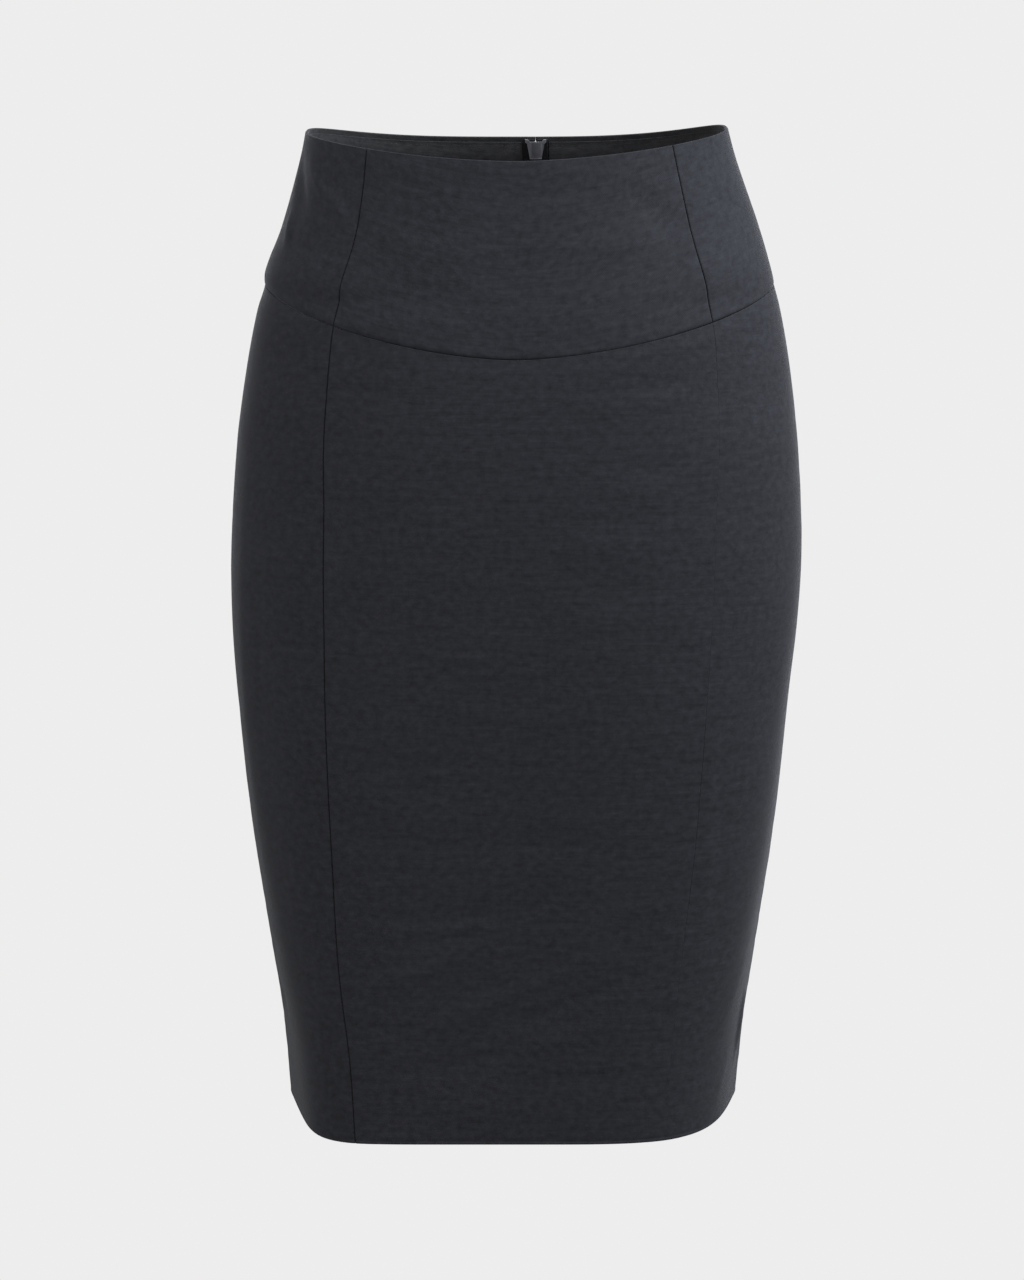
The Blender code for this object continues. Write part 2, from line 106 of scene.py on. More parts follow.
SEAM_ALLOWANCE = 11.0   # turned in along each seam, pressed open
HEM_ALLOWANCE = 36.0    # turned up inside the hem
LAYER_FADE = (0.5, 0.3)  # over this distance a turned-in layer ends, before and past its edge
HEM_GROOVE = 0.14       # pressed in along the hem, over its folded edge
HEM_GROOVE_HEIGHT = 2.2
HEM_GROOVE_WIDTH = 0.6
TURNED_IN = 0.8         # what a turned-in layer adds to a panel's inner side
SHOWS_THROUGH = 0.13    # and how far it lifts the cloth over it
SHOWS_FADE = 2.0        # fading out over this distance on both sides of its edge
PUCKER_DISTANCE = 2.5   # how far from a seam its puckers are highest
PUCKER_SPREAD = 2.6
PRESSED_REACH = 9.0     # a pressed upper edge thins and lies flat over this distance
PRESSED_OUTER = 0.34
PRESSED_INNER = 0.96

STEP_ACROSS = 3.0       # the grids' spacing away from the seams
STEP_UP = 2.6
YOKE_REFERENCE = -50.0  # where a panel's width is measured for its grid
SKIRT_REFERENCE = -200.0
MEASURE_POINTS = 60     # points along a line that is measured
SETTLING_ROUNDS = 8     # rounds in which a place's angle and height settle together

# ---------------------------------------------------------------- the body's form

Section = namedtuple(
    "Section",
    "height right left front back corner_right corner_left corner_back "
    "taper_right taper_left",
)
SECTIONS = table(
    Section,
    (-582, 139.7, 138.6, 98.6, 97.5, 8.0, 4.6, 2.8, 0.150, 0.168),
    (-530, 143.8, 143.6, 99.4, 100.5, 6.4, 4.3, 2.7, 0.138, 0.150),
    (-480, 151.0, 150.4, 100.5, 104.5, 5.3, 4.0, 2.6, 0.115, 0.122),
    (-400, 162.1, 161.1, 102.5, 112.5, 4.2, 3.5, 2.5, 0.085, 0.085),
    (-320, 169.1, 168.2, 104.5, 121.5, 3.4, 3.1, 2.4, 0.050, 0.050),
    (-280, 171.3, 172.2, 105.0, 126.0, 3.1, 2.9, 2.4, 0.040, 0.040),
    (-240, 171.3, 174.1, 105.0, 128.5, 2.9, 2.75, 2.4, 0.030, 0.030),
    (-200, 169.1, 172.8, 104.5, 128.5, 2.7, 2.65, 2.4, 0.020, 0.020),
    (-160, 165.3, 169.6, 103.0, 125.0, 2.6, 2.6, 2.4, 0.010, 0.010),
    (-120, 159.3, 164.5, 100.5, 118.0, 2.5, 2.5, 2.45, 0.010, 0.010),
    (-90, 153.1, 158.9, 97.8, 110.5, 2.45, 2.45, 2.5, 0.000, 0.000),
    (-76, 148.8, 155.3, 96.2, 106.5, 2.4, 2.4, 2.5, 0.000, 0.000),
    (-66, 148.0, 153.2, 95.0, 103.5, 2.4, 2.4, 2.5, 0.000, 0.000),
    (-40, 137.9, 145.4, 92.0, 96.5, 2.35, 2.35, 2.6, 0.000, 0.000),
    (0, 126.5, 131.3, 88.0, 87.5, 2.3, 2.3, 2.7, 0.000, 0.000),
    (20, 122.4, 125.7, 86.0, 84.0, 2.3, 2.3, 2.7, 0.000, 0.000),
)
TAPER_CURVE = 1.1

Seam = namedtuple("Seam", "height right left back")
SEAMS = table(
    Seam,
    (-582, 50.7, 49.6, 0.0),
    (-480, 50.8, 51.2, 0.0),
    (-400, 52.2, 51.3, 0.0),
    (-280, 53.1, 51.4, 0.0),
    (-200, 52.3, 50.4, 0.0),
    (-120, 50.4, 47.9, 2.2),
    (-76, 50.1, 47.3, 4.0),
    (-40, 50.7, 47.8, 5.3),
    (0, 49.6, 46.9, 5.8),
    (20, 48.7, 47.0, 5.8),
)

# Round the yoke seam: half the gap between its edges, and how deep each is rounded.
SeamPlace = namedtuple("SeamPlace", "angle half_gap yoke_roll skirt_roll")
YOKE_SEAM = table(
    SeamPlace,
    (0, 0.05, 1.10, 0.20),
    (180, 0.05, 1.10, 0.20),
    (200, 0.10, 1.20, 0.40),
    (212, 0.24, 1.30, 0.50),
    (224, 0.24, 1.30, 0.40),
    (240, 0.17, 1.10, 0.08),
    (256, 0.15, 1.00, 0.06),
    (272, 0.14, 0.95, 0.06),
    (284, 0.04, 0.60, 0.06),
    (298, 0.04, 0.60, 0.10),
    (310, 0.07, 1.15, 0.15),
    (330, 0.08, 1.25, 0.30),
    (360, 0.05, 1.10, 0.20),
)

# How far the back yoke's edges stand from the zip's line.
Slit = namedtuple("Slit", "height half")
SLIT = table(
    Slit,
    (-200, HALF_SEEN), (-17, HALF_SEEN), (-10, 0.95),
    (1.4, 0.95), (3.4, HALF_SEEN), (20, HALF_SEEN),
)

# ---------------------------------------------------------------- the cloth's creases

# Each crease is a soft ridge, or a trough where its rise is below 0: the angle and height
# of its middle, half its length, its half width, its rise, its slope in degrees and how far
# its ends lie above its middle, if they do.
Crease = namedtuple("Crease", "angle height length width rise slope bend", defaults=(0,))
FRONT_CREASES = table(
    Crease,
    # across the yoke
    (247, -42.5, 42, 6.5, 0.46, -14, 2), (287, -43, 66, 7.0, 0.40, 0, 1),
    (266, -44, 30, 5.0, 0.16, -4), (247, -65, 42, 8.0, -0.34, -17),
    (243, -85, 50, 10.0, 0.46, -9, 2), (231, -12, 22, 6.0, -0.34, -34),
    (262, 3, 120, 10.0, 0.50, 0), (278, -13, 40, 5.0, -0.16, 2),
    (303.5, -24, 27, 9.0, -0.92, -50), (307, -42, 22, 6.0, 0.34, 2),
    (222, -8, 36, 15.0, -0.45, -70), (288, -74, 48, 8.0, 0.24, 5, 2),
    (316, -78, 34, 7.0, -0.38, 14), (330, -26, 30, 6.0, -0.35, -30, 3),
    (318, -60, 46, 17.0, 1.15, 4), (316, -74, 40, 8.0, 0.34, 6),
    # from the waist's right side
    (214, -12, 30, 3.8, 1.90, -36), (219, -12, 25, 4.4, -0.90, -44),
    (222.5, -21, 17, 3.4, 1.30, -48), (228, -25, 17, 4.4, -0.55, -49),
    (200, -15, 27, 6.5, -2.60, -44), (200, -39, 14, 3.4, 1.30, -57),
    (206, -43, 16, 4.2, -0.70, -56),
    # below the yoke
    (306, -96, 90, 42.0, 1.20, 0), (236, -118, 27, 5.0, 0.30, -3),
    (239, -127, 30, 4.0, -0.20, -3), (301, -121, 24, 3.6, -0.40, 5),
    (290, -134, 38, 6.0, 0.25, 2), (296, -171, 32, 4.2, -0.30, 0, 2),
    (294, -184, 32, 5.0, 0.30, -2), (293, -201, 47, 5.0, -0.30, 3, -1),
    (288, -217, 42, 7.0, 0.34, -2), (293, -242, 44, 6.0, -0.28, 2, 1),
    (291, -260, 52, 6.0, 0.28, 0), (279, -320, 38, 6.0, 0.18, 2),
    (256, -345, 56, 3.4, -0.28, 4, -3),
    # above the knee
    (262, -395, 95, 7.0, -0.35, 0, 2), (243, -412, 38, 3.6, -0.32, 3),
    (255, -438, 64, 4.5, -0.38, 3, 2), (249, -455, 54, 4.0, -0.32, 6),
    (247, -474, 46, 5.0, 0.48, 17), (268, -488, 76, 5.0, 0.48, 24),
    (279, -497, 62, 4.5, -0.45, 22), (281, -516, 54, 5.0, 0.42, 20),
    (258, -530, 60, 6.0, -0.40, 10), (291, -540, 44, 5.0, -0.35, 4, 2),
    (266, -556, 80, 6.0, 0.27, 2),
    # the side panels
    (346, -530, 27, 3.6, 1.90, -92), (355, -532, 26, 6.5, -2.00, -90),
    (330, -556, 24, 5.0, 0.40, 60), (326, -549, 14, 2.4, 0.35, 12),
    (322, -543, 12, 2.4, -0.25, 16), (330, -500, 40, 7.0, 0.30, 62),
    (226, -300, 190, 7.0, 0.66, -89), (217, -330, 190, 9.0, -0.90, -89),
    (207, -300, 170, 7.0, 0.50, -89), (311.5, -400, 96, 4.0, 0.40, 94.5),
    (315.5, -405, 90, 4.5, -0.35, 94.5), (196, -478, 26, 4.0, -0.80, 12),
    (200, -466, 28, 6.0, 0.45, 14), (192, -513, 24, 8.5, -1.10, 6),
    (210, -400, 34, 6.0, -0.30, 24), (204, -330, 40, 8.0, 0.30, 30),
    (214, -252, 36, 7.0, -0.28, 14), (206, -168, 30, 6.0, 0.30, -12),
    (330, -180, 30, 6.0, -0.30, 12), (334, -300, 40, 7.0, 0.28, -14),
    (322, -392, 36, 6.0, -0.28, -20),
)
BACK_CREASES = table(
    Crease,
    # across the hollow of the back, over and under the yoke seam
    (106, -38, 64, 5.0, -0.50, 4, 5), (72, -46, 58, 5.0, -0.45, -5, 5),
    (112, -62, 60, 7.0, 0.38, 2, 4), (66, -66, 50, 7.0, 0.34, -3, 4),
    (140, -30, 32, 5.0, -0.40, 24), (38, -28, 32, 5.0, -0.38, -26),
    (118, -112, 44, 5.0, -0.40, 6, -4), (66, -116, 42, 5.0, -0.36, -8, -4),
    (104, -130, 34, 6.0, 0.28, 4),
    # from the end of the zip
    (97, -214, 24, 4.0, 0.42, 38), (84, -218, 22, 4.0, 0.38, -40),
    (98, -232, 26, 4.0, -0.34, 24),
    # under the seat
    (112, -286, 52, 7.0, -0.40, -6, -6), (66, -292, 50, 7.0, -0.38, 7, -6),
    (118, -306, 46, 8.0, 0.34, -8, -5), (60, -314, 44, 8.0, 0.32, 9, -5),
    (124, -352, 40, 6.0, -0.30, -18), (54, -360, 42, 6.0, -0.28, 20),
    # down to the vent
    (82, -404, 30, 5.0, 0.34, 62), (99, -408, 28, 5.0, 0.30, -64),
    (76, -456, 42, 7.0, -0.40, 70), (112, -470, 46, 7.0, 0.34, -74),
    (128, -500, 50, 8.0, -0.34, -66), (50, -492, 48, 8.0, 0.34, 64),
    (62, -540, 40, 7.0, -0.28, 78), (102, -538, 34, 6.0, 0.26, 88),
    # round the sides
    (160, -160, 34, 6.0, -0.32, 10), (20, -166, 34, 6.0, 0.30, -10),
    (166, -262, 38, 7.0, 0.30, -12), (14, -270, 38, 7.0, -0.30, 12),
    (158, -420, 40, 7.0, -0.34, -22), (22, -428, 40, 7.0, 0.32, 22),
)

# Light ripples across the cloth, drawn by lot in these bands.
Band = namedtuple("Band", "low high count length width rise slope")
RIPPLE_BANDS = table(
    Band,
    (-100, 0, 34, 30, 4.0, 0.11, 8),
    (-300, -100, 70, 32, 4.5, 0.10, 8),
    (-430, -300, 56, 34, 4.2, 0.13, 10),
    (-570, -430, 84, 36, 4.0, 0.17, 16),
)
RIPPLE_SEED = 11

# Stacks of short fine ripples, one over the other.
Stack = namedtuple("Stack", "angle low high step length rise slope")
STACKS = table(
    Stack,
    (241, -386, -360, 4.3, 17, 0.10, 2),
    (289, -187, -150, 3.6, 26, 0.09, 1),
    (262, -300, -284, 4.0, 18, 0.07, -1),
)
STACK_WIDTH = 0.38      # a ripple's half width, as a share of its stack's step

# ---------------------------------------------------------------- the zip's hard parts

SLIDER_BASE_HEIGHT = -2.0
SLIDER_ABOVE = 7.4
SLIDER_BELOW = 5.0
SLIDER_TOP_WIDTH = 13.0
SLIDER_SIDE_WIDTH = 10.6
SLIDER_TAIL_WIDTH = 7.6
SLIDER_THICKNESS = 2.6
SLIDER_DEPTH = YOKE_WALL + SOLID_GAP + TAPE_WALL + SOLID_GAP
SLIDER_SHOULDER = 5.5   # the lower end of its top corners
SLIDER_SIDE = 4.5       # where its body starts under them
SLIDER_WAIST = -3.8
SLIDER_CORNER = 0.35
SLIDER_CROWN = 0.8      # how far its inner side bows out
SLIDER_PLATE = 0.8      # its outer plate
SLIDER_THIN_PLATE = 0.5         # and its inner one
SLIDER_NOTCH = 1.5      # the dip between its inner plate's top corners
# Its plates' top edges, from the corner in: the share of the half width, and the drop.
INNER_TOP_EDGE = ((1.0, 0.0), (0.72, 0.2), (0.54, SLIDER_NOTCH))
OUTER_TOP_EDGE = ((1.0, 1.6), (0.30, 2.6))
POST_WIDTH = 3.0        # the wedge between its two mouths
POST_LENGTH = 5.4
POST_WIDEST = 3.0       # how far under its top edge the wedge is widest
POST_GAP = 0.2          # from the notch to the wedge's point
POST_CORNER = 0.3
FLANGE = 0.9            # the rims that close its sides
RIM_INSET = 0.15
RIM_STEP = 0.4
RIM_CORNER = 0.12
RIM_SUNK = 0.1          # how far the rims and the wedge start inside the inner plate
OUTER_INSET = 0.3       # how much smaller the outer plate is all round
SLIDER_BEVEL = 0.18

NECK_WIDTH = 1.3
ARCH_RADIUS = 2.2
ARCH_HOLE_HALF_WIDTH = 1.2
ARCH_HOLE_RISE = 1.0
ARCH_HOLE_CORNER = 0.3
HINGE_RISE = 1.7

TAB_LENGTH = 24.5
TAB_NECK_WIDTH = 5.2
TAB_WIDTH = 6.8
TAB_THICKNESS = 0.9
TAB_BAR = 0.9
TAB_WINDOW_WIDTH = 2.6
TAB_WINDOW_LENGTH = 3.1
TAB_CORNER = 0.4
TAB_WINDOW_CORNER = 0.3
TAB_RIM = 0.7           # the raised border round the tab's faces
TAB_SUNK = 0.14
TAB_BEVEL = 0.10

BEVEL_STEPS = 3
SHARP_ANGLE = math.radians(40)
CROWN_STEPS = 11
ARC_POINTS = 25
TAB_END_POINTS = 29

COIL_PITCH = 1.4
COIL_WIDTH = 2.5
COIL_HEIGHT = 1.5
COIL_THREAD = 0.26
COIL_OFFSET = 1.05
COIL_POINTS = 14        # in each turn
COIL_SIDES = 5
COIL_TO_SLIDER = 1.0    # how far it runs up into the slider
COIL_TO_END = 3.0       # how far above the tape's end it starts
COIL_PRESSED = 0.15     # how far it is pressed into the tape

STITCH_LENGTH = 2.6
STITCH_GAP = 0.7
STITCH_RADIUS = 0.13
STITCH_PROFILE = (0.55, 0.9, 1.0, 1.0, 0.9, 0.55)   # its thickness, from end to end
STITCH_ARCH = 1.5       # how far its middle arches out, in thread radii
STITCH_SUNK = 0.7       # and how far its ends are sunk
FACING_STITCH_DROP = 2.2        # the understitching's distance below the facing's edge
FACING_STITCH_DEPTH = 1.9       # and its depth under the outer surface there
FACING_STITCH_ENDS = (0.005, 0.995)
FACING_STITCH_POINTS = 400
VENT_STITCH_DROP = 3.0
VENT_STITCH_ENDS = (0.6, 1.5)

# ---------------------------------------------------------------- small helpers


def mix(a, b, share):
    return a + (b - a) * share


def smooth_step(low, high, value):
    share = np.clip((value - low) / (high - low), 0.0, 1.0)
    return share * share * (3 - 2 * share)


def unit(vectors):
    return vectors / np.linalg.norm(vectors, axis=-1, keepdims=True)


def read_table(rows, column, height):
    """A table's column at any heights, on one smooth curve through its rows."""
    heights = np.array([row.height for row in rows], float)
    values = np.array([getattr(row, column) for row in rows], float)
    index = np.arange(len(rows))
    before, after = np.maximum(index - 1, 0), np.minimum(index + 1, len(rows) - 1)
    slopes = (values[after] - values[before]) / (heights[after] - heights[before])
    upper = np.clip(np.searchsorted(heights, height), 1, len(rows) - 1)
    lower = upper - 1
    span = heights[upper] - heights[lower]
    share = (height - heights[lower]) / span
    return (
        (2 * share**3 - 3 * share**2 + 1) * values[lower]
        + (share**3 - 2 * share**2 + share) * slopes[lower] * span
        + (3 * share**2 - 2 * share**3) * values[upper]
        + (share**3 - share**2) * slopes[upper] * span
    )


def read_line(rows, column, place):
    """A table's column at any place, on straight lines through its rows."""
    return np.interp(place, [row[0] for row in rows], [getattr(row, column) for row in rows])


# ---------------------------------------------------------------- the common surface


def form(column, height):
    return read_table(SECTIONS, column, height)


def unit_section(angle, height):
    """Where a section of half width and half depth 1 is at an angle."""
    across, along = np.cos(angle), np.sin(angle)
    left_share = smooth_step(-0.5, 0.5, across)
    front = mix(form("corner_right", height), form("corner_left", height), left_share)
    corner = np.where(along > 0, form("corner_back", height), front)
    reach = (np.abs(across) ** corner + np.abs(along) ** corner) ** (-1 / corner)
    return across * reach, along * reach


def outer_point(angle, height):
    """Points of the skirt's outer surface, before its creases."""
    across, along = unit_section(angle, height)
    left = across > 0
    half_width = np.where(left, form("left", height), form("right", height))
    half_depth = np.where(along > 0, form("back", height), form("front", height))
    taper = np.where(left, form("taper_left", height), form("taper_right", height))
    drawn_in = 1 - taper * np.abs(along) ** TAPER_CURVE
    half_width = half_width * np.where(along < 0, drawn_in, 1.0)
    return np.stack([half_width * across, half_depth * along, height + 0 * angle], -1)


def girth_rate(angle, height):
    """How many millimetres the surface runs for each radian."""
    step = 0.002
    ahead = outer_point(angle + step, height)
    behind = outer_point(angle - step, height)
    return np.linalg.norm(ahead - behind, axis=-1) / (2 * step)


def surface_normal(angle, height):
    turn, climb = 0.02, 2.0
    along = outer_point(angle + turn, height) - outer_point(angle - turn, height)
    up = outer_point(angle, height + climb) - outer_point(angle, height - climb)
    return unit(np.cross(along, up))


def waist_edge(angle):
    across, along = unit_section(angle, WAIST_CENTRE + 0 * angle)
    side = np.where(across > 0, WAIST_SIDE_LEFT, WAIST_SIDE_RIGHT)
    curve = np.where(along > 0, WAIST_CURVE_BACK, WAIST_CURVE_FRONT)
    return mix(WAIST_CENTRE, side, np.abs(across) ** curve)


def yoke_seam(angle):
    across, along = unit_section(angle, YOKE_SEAM_SIDE + 0 * angle)
    centre = np.where(along > 0, YOKE_SEAM_BACK, YOKE_SEAM_FRONT)
    return mix(centre, YOKE_SEAM_SIDE, np.abs(across) ** YOKE_SEAM_CURVE)


def read_seam(column, angle):
    """The yoke seam's table at an angle."""
    return read_line(YOKE_SEAM, column, np.degrees(angle) % 360)


def yoke_bottom(angle):
    return yoke_seam(angle) + read_seam("half_gap", angle)


def skirt_top(angle):
    return yoke_seam(angle) - read_seam("half_gap", angle)


def constant(value):
    return lambda place: value + 0 * place


def above(edge, distance):
    return lambda angle: edge(angle) + distance


def seam_line(column, base, sign):
    """A seam's angle at any height, on either side of a base angle."""
    return lambda height: base + sign * np.radians(read_table(SEAMS, column, height))


side_left = constant(LEFT_SIDE)
side_left_again = constant(FULL_TURN)
side_right = constant(RIGHT_SIDE)
princess_right = seam_line("right", RIGHT_SIDE, 1)
princess_left = seam_line("left", FULL_TURN, -1)
back_line = seam_line("back", CENTRE_BACK, -1)


def beside(line, distance):
    """A line at a distance round the body from another, positive to larger angles."""

    def shifted(height):
        angle = line(height)
        gap = distance(height) if callable(distance) else distance
        return angle + gap / girth_rate(angle, height)

    return shifted


def slit_half(height):
    return read_line(SLIT, "half", height)


def minus_slit_half(height):
    return -slit_half(height)


# ---------------------------------------------------------------- creases and seams


def draw_ripples():
    """The light ripples of each band and stack, as creases."""
    lot = random.Random(RIPPLE_SEED)
    ripples = []
    for band in RIPPLE_BANDS:
        for _ in range(band.count):
            angle, height = lot.uniform(0, 360), lot.uniform(band.low, band.high)
            length = band.length * lot.uniform(0.5, 1.5)
            width = band.width * lot.uniform(0.7, 1.5)
            rise = band.rise * lot.uniform(0.4, 1.3) * lot.choice((-1, 1))
            slope, bend = band.slope * lot.uniform(-1, 1), lot.uniform(-2, 2)
            ripples.append(Crease(angle, height, length, width, rise, slope, bend))
    for stack in STACKS:
        for height in np.arange(stack.low, stack.high, stack.step):
            angle, height = stack.angle + lot.uniform(-3, 3), height + lot.uniform(-0.5, 0.5)
            length = stack.length * lot.uniform(0.6, 1.1)
            width = STACK_WIDTH * stack.step
            rise = stack.rise * lot.uniform(0.6, 1.2)
            ripples.append(Crease(angle, height, length, width, rise, stack.slope))
    return ripples


CREASES = [*FRONT_CREASES, *BACK_CREASES, *draw_ripples()]


def crease_rise(angle, height):
    """How far the creases lift the cloth off its plain form."""
    rise = np.zeros(np.shape(height))
    for crease in CREASES:
        middle = math.radians(crease.angle)
        turn = (angle - middle + math.pi) % FULL_TURN - math.pi
        across = turn * girth_rate(middle, crease.height)
        up = height - crease.height
        slope = math.radians(crease.slope)
        along = (across * math.cos(slope) + up * math.sin(slope)) / crease.length
        off = up * math.cos(slope) - across * math.sin(slope) - crease.bend * along**2
        fade = np.clip(1 - along**2, 0, 1) ** 1.5
        rise += crease.rise * fade * np.exp(-((off / crease.width) ** 2))
    return rise


# How far the left princess seam's edges are rounded below the yoke.
Fade = namedtuple("Fade", "height roll")
FADES = table(
    Fade,
    (-582, 0.03), (-470, 0.05), (-430, 0.20), (-350, 0.22), (-300, 0.10),
    (-260, 0.04), (-150, 0.05), (-112, 0.15), (-90, 0.20),
)
ALONG_RATE = 150.0      # millimetres for each radian, along the edges that run round


def fading_roll(height):
    """The left princess seam nearly closes up in places."""
    return read_line(FADES, "roll", height)


def along_yoke_seam(column):
    """How deep an edge at the yoke seam is rounded, along the seam."""
    return lambda along: read_seam(column, along / ALONG_RATE)


# An edge of a panel: how deep its outer and inner corners are rounded, how far the cloth
# beside it stands up, how far that reaches, its puckers' rise, whether an allowance is
# pressed open behind it, and how long the outer corner's rounding is, if not as deep.
Edge = namedtuple("Edge", "roll inner_roll lift reach pucker allowance run", defaults=(None,))
SIDE_SEAM = Edge(0.50, 0.25, -0.12, 4.0, 0.05, True)
BACK_SEAM = Edge(0.55, 0.25, -0.15, 4.0, 0.06, True)
PRINCESS_CENTRE = Edge(1.10, 0.25, 0.04, 4.0, 0.05, True)
PRINCESS_SIDE = Edge(1.10, 0.25, -0.08, 3.0, 0.05, True)
PRINCESS_CENTRE_FAINT = Edge(fading_roll, 0.16, 0.05, 4.0, 0.04, True)
PRINCESS_SIDE_FAINT = Edge(fading_roll, 0.16, 0.02, 4.0, 0.04, True)
YOKE_LOWER = Edge(along_yoke_seam("yoke_roll"), 0.12, 0.08, 6.0, 0.04, False, 2.6)
SKIRT_UPPER = Edge(along_yoke_seam("skirt_roll"), 0.20, -0.36, 8.0, 0.03, True)
ZIP_EDGE = Edge(0.60, 0.60, -0.10, 4.0, 0.08, False)
WAIST_FOLD = Edge(0.30, 0.34, 0.0, 1.0, 0.0, False)
HEM_FOLD = Edge(0.58, 0.55, 0.10, 2.0, 0.0, False)
FACING_ROLL = Edge(0.15, 0.15, 0.0, 1.0, 0.0, False)
FACING_EDGE = Edge(0.30, 0.30, 0.0, 1.0, 0.0, False)
TAPE_BORDER = Edge(0.30, 0.30, 0.0, 1.0, 0.0, False)


def rounding(distance, depth, run=None):
    """How far a rounded corner drops at a distance from the edge."""
    short = np.clip(1 - distance / (depth if run is None else run), 0, 1)
    return depth * (1 - np.sqrt(1 - short**2))


def puckers(along):
    """Uneven small waves along a seam."""
    return np.sin(along / 1.9) + 0.7 * np.sin(along / 1.27 + 1) + 0.6 * np.sin(along / 3.3)


def turned_in(width, distance):
    """1 over a layer that is turned in by a width, and 0 past its edge."""
    return 1 - smooth_step(width - LAYER_FADE[0], width + LAYER_FADE[1], distance)


def edge_relief(edge, distance, along):
    """What one edge does to a panel: outer drop, inner drop, lift and added inner depth."""
    roll = edge.roll(along) if callable(edge.roll) else edge.roll
    lift = edge.lift * np.exp(-((distance / edge.reach) ** 2))
    beside_it = np.exp(-(((distance - PUCKER_DISTANCE) / PUCKER_SPREAD) ** 2))
    lift = lift + edge.pucker * puckers(along) * beside_it
    turned = turned_in(SEAM_ALLOWANCE, distance) * edge.allowance
    over_it = 1 - smooth_step(SEAM_ALLOWANCE - SHOWS_FADE, SEAM_ALLOWANCE + SHOWS_FADE, distance)
    lift = lift + SHOWS_THROUGH * over_it * edge.allowance
    return rounding(distance, roll, edge.run), rounding(distance, edge.inner_roll), lift, turned


# ---------------------------------------------------------------- shells


def round_layer(width):
    """The grids' steps at the edge of a layer turned in by a width."""
    return width - 0.6, width, width + 0.6


EDGE_STEPS = (0.0, 0.1, 0.26, 0.5, 0.85, 1.4, 2.2, 3.4, 5.0, 7.2)
TURN_STEPS = (*EDGE_STEPS, *round_layer(SEAM_ALLOWANCE))
HEM_STEPS = (
    *EDGE_STEPS[:6], 1.8, 2.2, 2.6, 3.1, 5.0, 7.2, *range(10, 32, 3), 33.5,
    *round_layer(HEM_ALLOWANCE),
)
THIN_STEPS = (0.0, 0.1, 0.3, 0.7)


def graded(length, step, first=TURN_STEPS, last=TURN_STEPS):
    """Shares of a length: fine steps at both ends, and even ones between them."""
    middle = length - first[-1] - last[-1]
    count = max(1, round(middle / step))
    even = [first[-1] + middle * index / count for index in range(1, count)]
    places = [*first, *even, *(length - gap for gap in reversed(last))]
    return np.array(places) / length


def panel_places(panel, across, upward):
    """The angles and heights of a panel's grid, a row for each share of its length."""
    across, upward = np.meshgrid(across, upward)
    height = mix(panel.bottom(0 * across), panel.top(0 * across), upward)
    for _ in range(SETTLING_ROUNDS):
        angle = mix(panel.start(height), panel.end(height), across)
        height = mix(panel.bottom(angle), panel.top(angle), upward)
    return angle, height


def run_lengths(points, axis):
    """How far each grid point is from the grid's first line, measured on the surface."""
    steps = np.linalg.norm(np.diff(points, axis=axis), axis=-1)
    start = np.zeros_like(np.take(steps, [0], axis=axis))
    return np.concatenate([start, np.cumsum(steps, axis=axis)], axis=axis)


def edge_spans(plain):
    """How far each point is from a panel's start, end, bottom and top."""
    along, up = run_lengths(plain, 1), run_lengths(plain, 0)
    return along, along[:, -1:] - along, up, up[-1:] - up


def add_object(name, data):
    thing = bpy.data.objects.new(name, data)
    bpy.context.collection.objects.link(thing)
    return thing


def build_mesh(name, points, faces):
    mesh = bpy.data.meshes.new(name)
    mesh.from_pydata(points, [], faces)
    return add_object(name, mesh)


def add_cloth_coordinates(thing, coordinates):
    """Where each point lies in the flat cloth, in millimetres, for the weave."""
    layer = thing.data.attributes.new("cloth", "FLOAT_VECTOR", "POINT")
    layer.data.foreach_set("vector", np.ascontiguousarray(coordinates, np.float32).ravel())


def close_shell(name, outer, inner, coordinates, kept=None):
    """A closed thin shell between two grids, over the cells that are kept.

    Its inner side is its second finish, where it has one.
    """
    rows, columns = outer.shape[:2]
    index = np.arange(rows * columns).reshape(rows, columns)
    quads = np.stack(
        [index[:-1, :-1], index[:-1, 1:], index[1:, 1:], index[1:, :-1]], -1
    )
    quads = quads.reshape(-1, 4) if kept is None else quads[kept]
    used, quads = np.unique(quads, return_inverse=True)
    quads = quads.reshape(-1, 4)
    count = len(used)
    here = quads.ravel()
    there = np.roll(quads, -1, axis=1).ravel()
    on_rim = ~np.isin(here * count + there, there * count + here)
    here, there = here[on_rim], there[on_rim]
    rim = np.stack([here, here + count, there + count, there], -1)
    faces = np.concatenate([quads, quads[:, ::-1] + count, rim])
    points = np.concatenate([side.reshape(-1, 3)[used] for side in (outer, inner)]) * MM
    thing = build_mesh(name, points.tolist(), faces.tolist())
    flat = coordinates.reshape(-1, 3)[used]
    add_cloth_coordinates(thing, np.concatenate([flat, flat]))
    thing.data.shade_smooth()
    side = np.zeros(len(faces), np.int32)
    side[len(quads) : 2 * len(quads)] = 1
    thing.data.polygons.foreach_set("material_index", side)
    return thing


Edges = namedtuple("Edges", "start end bottom top")
# A panel's edges may depend on the height, and its layer is one that only it turns in.
Panel = namedtuple(
    "Panel", "node start end bottom top edges wall inset hem pressed layer",
    defaults=(0.0, False, False, None),
)
CLOTH_STEP = 173.0
cloth_number = 0


def next_cloth():
    """A number for each piece of cloth, so that each has its own run of threads."""
    global cloth_number
    cloth_number += 1
    return cloth_number * CLOTH_STEP


